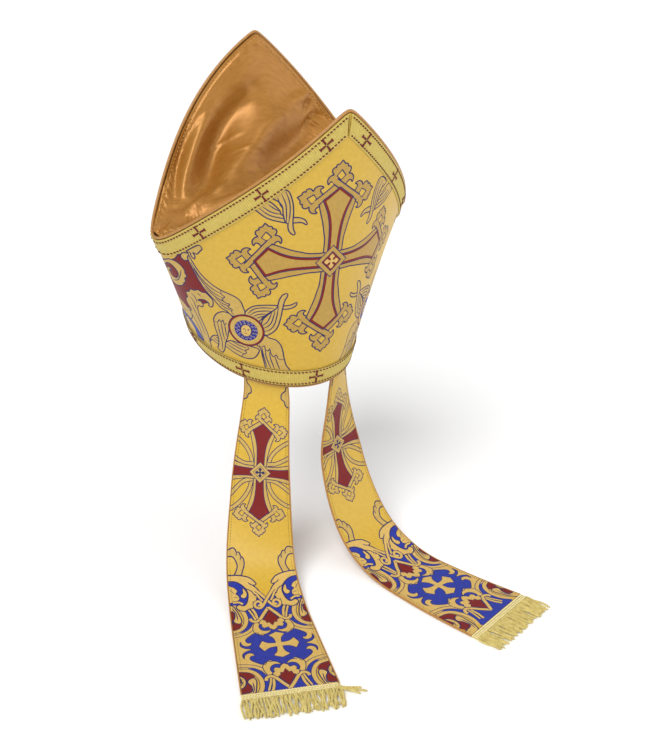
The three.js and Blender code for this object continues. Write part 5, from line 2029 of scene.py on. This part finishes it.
@dataclass
class Fringe:
    """A fringe of twisted yarns under a braided head."""

    lay: LappetLay
    head_length: float = 8.0
    head_thickness: float = 2.6
    length: float = 31.0
    yarns: int = 46
    ply: float = 0.68
    twist: float = 5.5
    scatter_deg: float = 8.0
    rest: float = 0.9
    strays: tuple[tuple[float, float, float], ...] = ((4, 66, 30), (7, 58, 27), (2, 74, 22))

    def twisted(self, bm: bmesh.types.BMesh, path: np.ndarray, turns: float) -> None:
        """Adds a yarn of two plies laid round each other."""
        t = np.linspace(0, 1, len(path))
        ahead = unit(np.gradient(path, axis=0))
        side = unit(np.cross(ahead, [0.0, 0.0, 1.0]))
        rise = np.cross(side, ahead)
        for phase in (0, math.pi):
            turn = (turns * math.tau * t + phase)[:, None]
            line = path + (side * np.cos(turn) + rise * np.sin(turn)) * self.ply * 0.95
            add_roll(bm, line, self.ply * rounded(len(path)), 5)

    def build(self) -> bpy.types.Object:
        """Makes the fringe at the end of its lappet, with stray yarns on the left one."""
        rng = np.random.default_rng(17 if self.lay.hand > 0 else 29)
        bm = bmesh.new()
        low = -LAPPET.thickness / 2
        half = LAPPET.end_width / 2 + LAPPET.binding
        start = LAPPET.length + LAPPET.gap
        made = bmesh.ops.create_cube(bm, size=1)
        core = self.head_thickness - 0.9
        bmesh.ops.scale(bm, verts=made["verts"], vec=(2 * half, self.head_length, core))
        bmesh.ops.translate(bm, verts=made["verts"], vec=(0, start + self.head_length / 2, low + core / 2))
        bmesh.ops.bevel(bm, geom=bm.edges[:], offset=0.4, segments=2, profile=0.5, affect="EDGES",
                        material=-1)
        top = low + self.head_thickness
        for row, slant in ((1.4, 1), (4.0, -1), (6.6, 1)):
            x = -half + 1.2
            while x < half - 1.0:
                line = np.array([(x + 1.9 * s, start + row + 0.8 * slant * s,
                                  top - 0.75 + 0.4 * math.cos(s * 1.4)) for s in (-1, -0.7, 0, 0.7, 1)])
                add_roll(bm, line, 0.95 * rounded(5), 6, 1, 0.8)
                x += 2.9
        for count, rest in ((int(self.yarns * 0.7), low + self.rest), (self.yarns, low + 2.1)):
            for i in range(count):
                x = -half + 1.5 + (2 * half - 3) * (i + rng.uniform(-0.3, 0.3)) / (count - 1)
                angle = math.radians(rng.normal(0, self.scatter_deg))
                length = self.length * rng.uniform(0.82, 1.0)
                way = np.array([math.sin(angle), math.cos(angle)])
                path = yarn_path(np.array([x, start + self.head_length - 1.5, rest]), way, length, rng)
                path[:, 2] = np.maximum(path[:, 2], low + self.rest)
                self.twisted(bm, path, length / self.twist)
        for inset, slant, length in self.strays if self.lay.hand > 0 else ():
            angle = math.radians(slant)
            knot = np.array([half - inset, start + self.head_length - 2.0, low + 2.3])
            path = yarn_path(knot, np.array([math.sin(angle), math.cos(angle)]), length, rng)
            self.twisted(bm, path, length / self.twist)
        close_rolls(bm)
        piece = mesh_object(f"fringe_yarns_{self.lay.name}", bm)
        dress(piece, [FRINGE_YARN.material(), FRINGE_HEAD.material()], LappetDrape(self.lay).place)
        return piece


@dataclass
class Studio:
    """Pale floor, soft lights and the camera."""

    floor_level: float = -0.2342
    eye: tuple[float, float, float] = (0.57572936, 1.06972305, 0.46155708)
    right: tuple[float, float, float] = (-0.85570576, 0.51745653, 0.00252701)
    up: tuple[float, float, float] = (-0.20099966, -0.33688053, 0.91984273)
    back: tuple[float, float, float] = (0.47682993, 0.7866068, 0.3922792)
    lens: float = 64.88
    ambient: float = 0.55
    key: float = 2.1
    fill: float = 4.0
    side: float = 6.5

    def floor(self) -> None:
        """Lays the pale floor."""
        bm = bmesh.new()
        bmesh.ops.create_grid(bm, x_segments=1, y_segments=1, size=40)
        bmesh.ops.translate(bm, verts=bm.verts[:], vec=(0, 0, self.floor_level))
        piece = mesh_object("studio_floor", bm)
        paint = bpy.data.materials.new("Studio floor")
        paint.use_nodes = True
        shader = paint.node_tree.nodes["Principled BSDF"]
        shader.inputs["Base Color"].default_value = (0.99, 0.99, 0.99, 1)
        shader.inputs["Roughness"].default_value = 0.8
        piece.data.materials.append(paint)

    def surroundings(self) -> None:
        """Sets pale surroundings that light the hat less brightly than they look."""
        world = bpy.data.worlds.new("Pale studio")
        world.use_nodes = True
        nodes, links = world.node_tree.nodes, world.node_tree.links
        seen = nodes.new("ShaderNodeLightPath")
        strength = nodes.new("ShaderNodeMapRange")
        strength.inputs["To Min"].default_value = self.ambient
        strength.inputs["To Max"].default_value = 1.0
        links.new(seen.outputs["Is Camera Ray"], strength.inputs["Value"])
        links.new(strength.outputs["Result"], nodes["Background"].inputs["Strength"])
        nodes["Background"].inputs["Color"].default_value = (1, 1, 1, 1)
        bpy.context.scene.world = world

    def lamps(self) -> None:
        """Adds the broad high key light, the low fill and a soft light from the camera's right."""
        for name, kind, spot, power, size in (("Key", "SUN", (0.9, 0.62, 1.25), self.key, 0.6),
                                              ("Fill", "AREA", (-0.6, 2.0, 0.7), self.fill, 1.2),
                                              ("Side", "AREA", (-1.5, 1.0, 0.5), self.side, 1.4)):
            data = bpy.data.lights.new(name, kind)
            data.energy = power
            if kind == "SUN":
                data.angle = size
            else:
                data.size = size
            lamp = bpy.data.objects.new(name, data)
            lamp.location = spot
            lamp.rotation_euler = (-Vector(spot)).to_track_quat("-Z", "Y").to_euler()
            bpy.context.scene.collection.objects.link(lamp)

    def camera(self) -> None:
        """Sets the camera at the photograph's angle."""
        data = bpy.data.cameras.new("Camera")
        data.sensor_fit = "HORIZONTAL"
        data.sensor_width = 36
        data.lens = self.lens
        data.clip_end = 50
        camera = bpy.data.objects.new("Camera", data)
        turn = Matrix((self.right, self.up, self.back)).transposed().to_4x4()
        camera.matrix_world = Matrix.Translation(self.eye) @ turn
        bpy.context.scene.collection.objects.link(camera)
        bpy.context.scene.camera = camera

    def build(self) -> None:
        """Sets up the whole studio."""
        self.floor()
        self.surroundings()
        self.lamps()
        self.camera()
        bpy.context.scene.view_settings.view_transform = "Standard"


def join_the_model(piece: bpy.types.Object, slot: str, *nodes: str) -> bpy.types.Object:
    """Rides a piece on the hat, hides the CAD nodes that it stands for and logs its faces."""
    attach(piece, "root")
    if nodes:
        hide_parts(*nodes)
    LOG.info("%s: %d faces", piece.name, len(piece.data.polygons))
    return piece


def main() -> None:
    """Builds the mitre piece by piece and the studio round it."""
    logging.basicConfig(level=logging.INFO, format="%(name)s %(message)s")
    panels = HornPanels()
    horns = [panels.build(Horn.BACK, "back_brocade"), panels.build(Horn.FRONT, "front_brocade")]
    for piece, node in zip(horns, ("back_panel", "front_panel")):
        join_the_model(piece, "brocade", node)
    for node, piece in Pipings().build().items():
        join_the_model(piece, "satin_piping", node)
    galloons = Galloons()
    band, trim = galloons.base()
    join_the_model(band, "galloon", "base_galloon")
    join_the_model(trim, "galloon")
    for horn, title in ((Horn.FRONT, "front"), (Horn.BACK, "back")):
        for hand, side in ((1, "left"), (-1, "right")):
            node = f"{title}_galloon_{side}"
            band, trim = galloons.edge(horn, hand, node)
            join_the_model(band, "galloon", node)
            join_the_model(trim, "galloon")
    crown, seam, area = CrownSatin().build(horns)
    join_the_model(crown, "satin_lining", "crown_lining")
    join_the_model(seam, "satin_lining")
    LOG.info("satin crown area %.4f", area)
    for lay in LAYS:
        lappet = Lappet(lay)
        face = join_the_model(lappet.face(), "brocade", f"lappet_face_{lay.name}")
        back = join_the_model(lappet.back(), "satin_lining", f"lappet_back_{lay.name}")
        seam = join_the_model(lappet.stitches(), "satin_lining")
        yarns = join_the_model(Fringe(lay).build(), "fringe_yarn", f"fringe_{lay.name}")
        lappet.area()
        lappet.area()
    Studio().build()


if __name__ == "__main__":
    main()
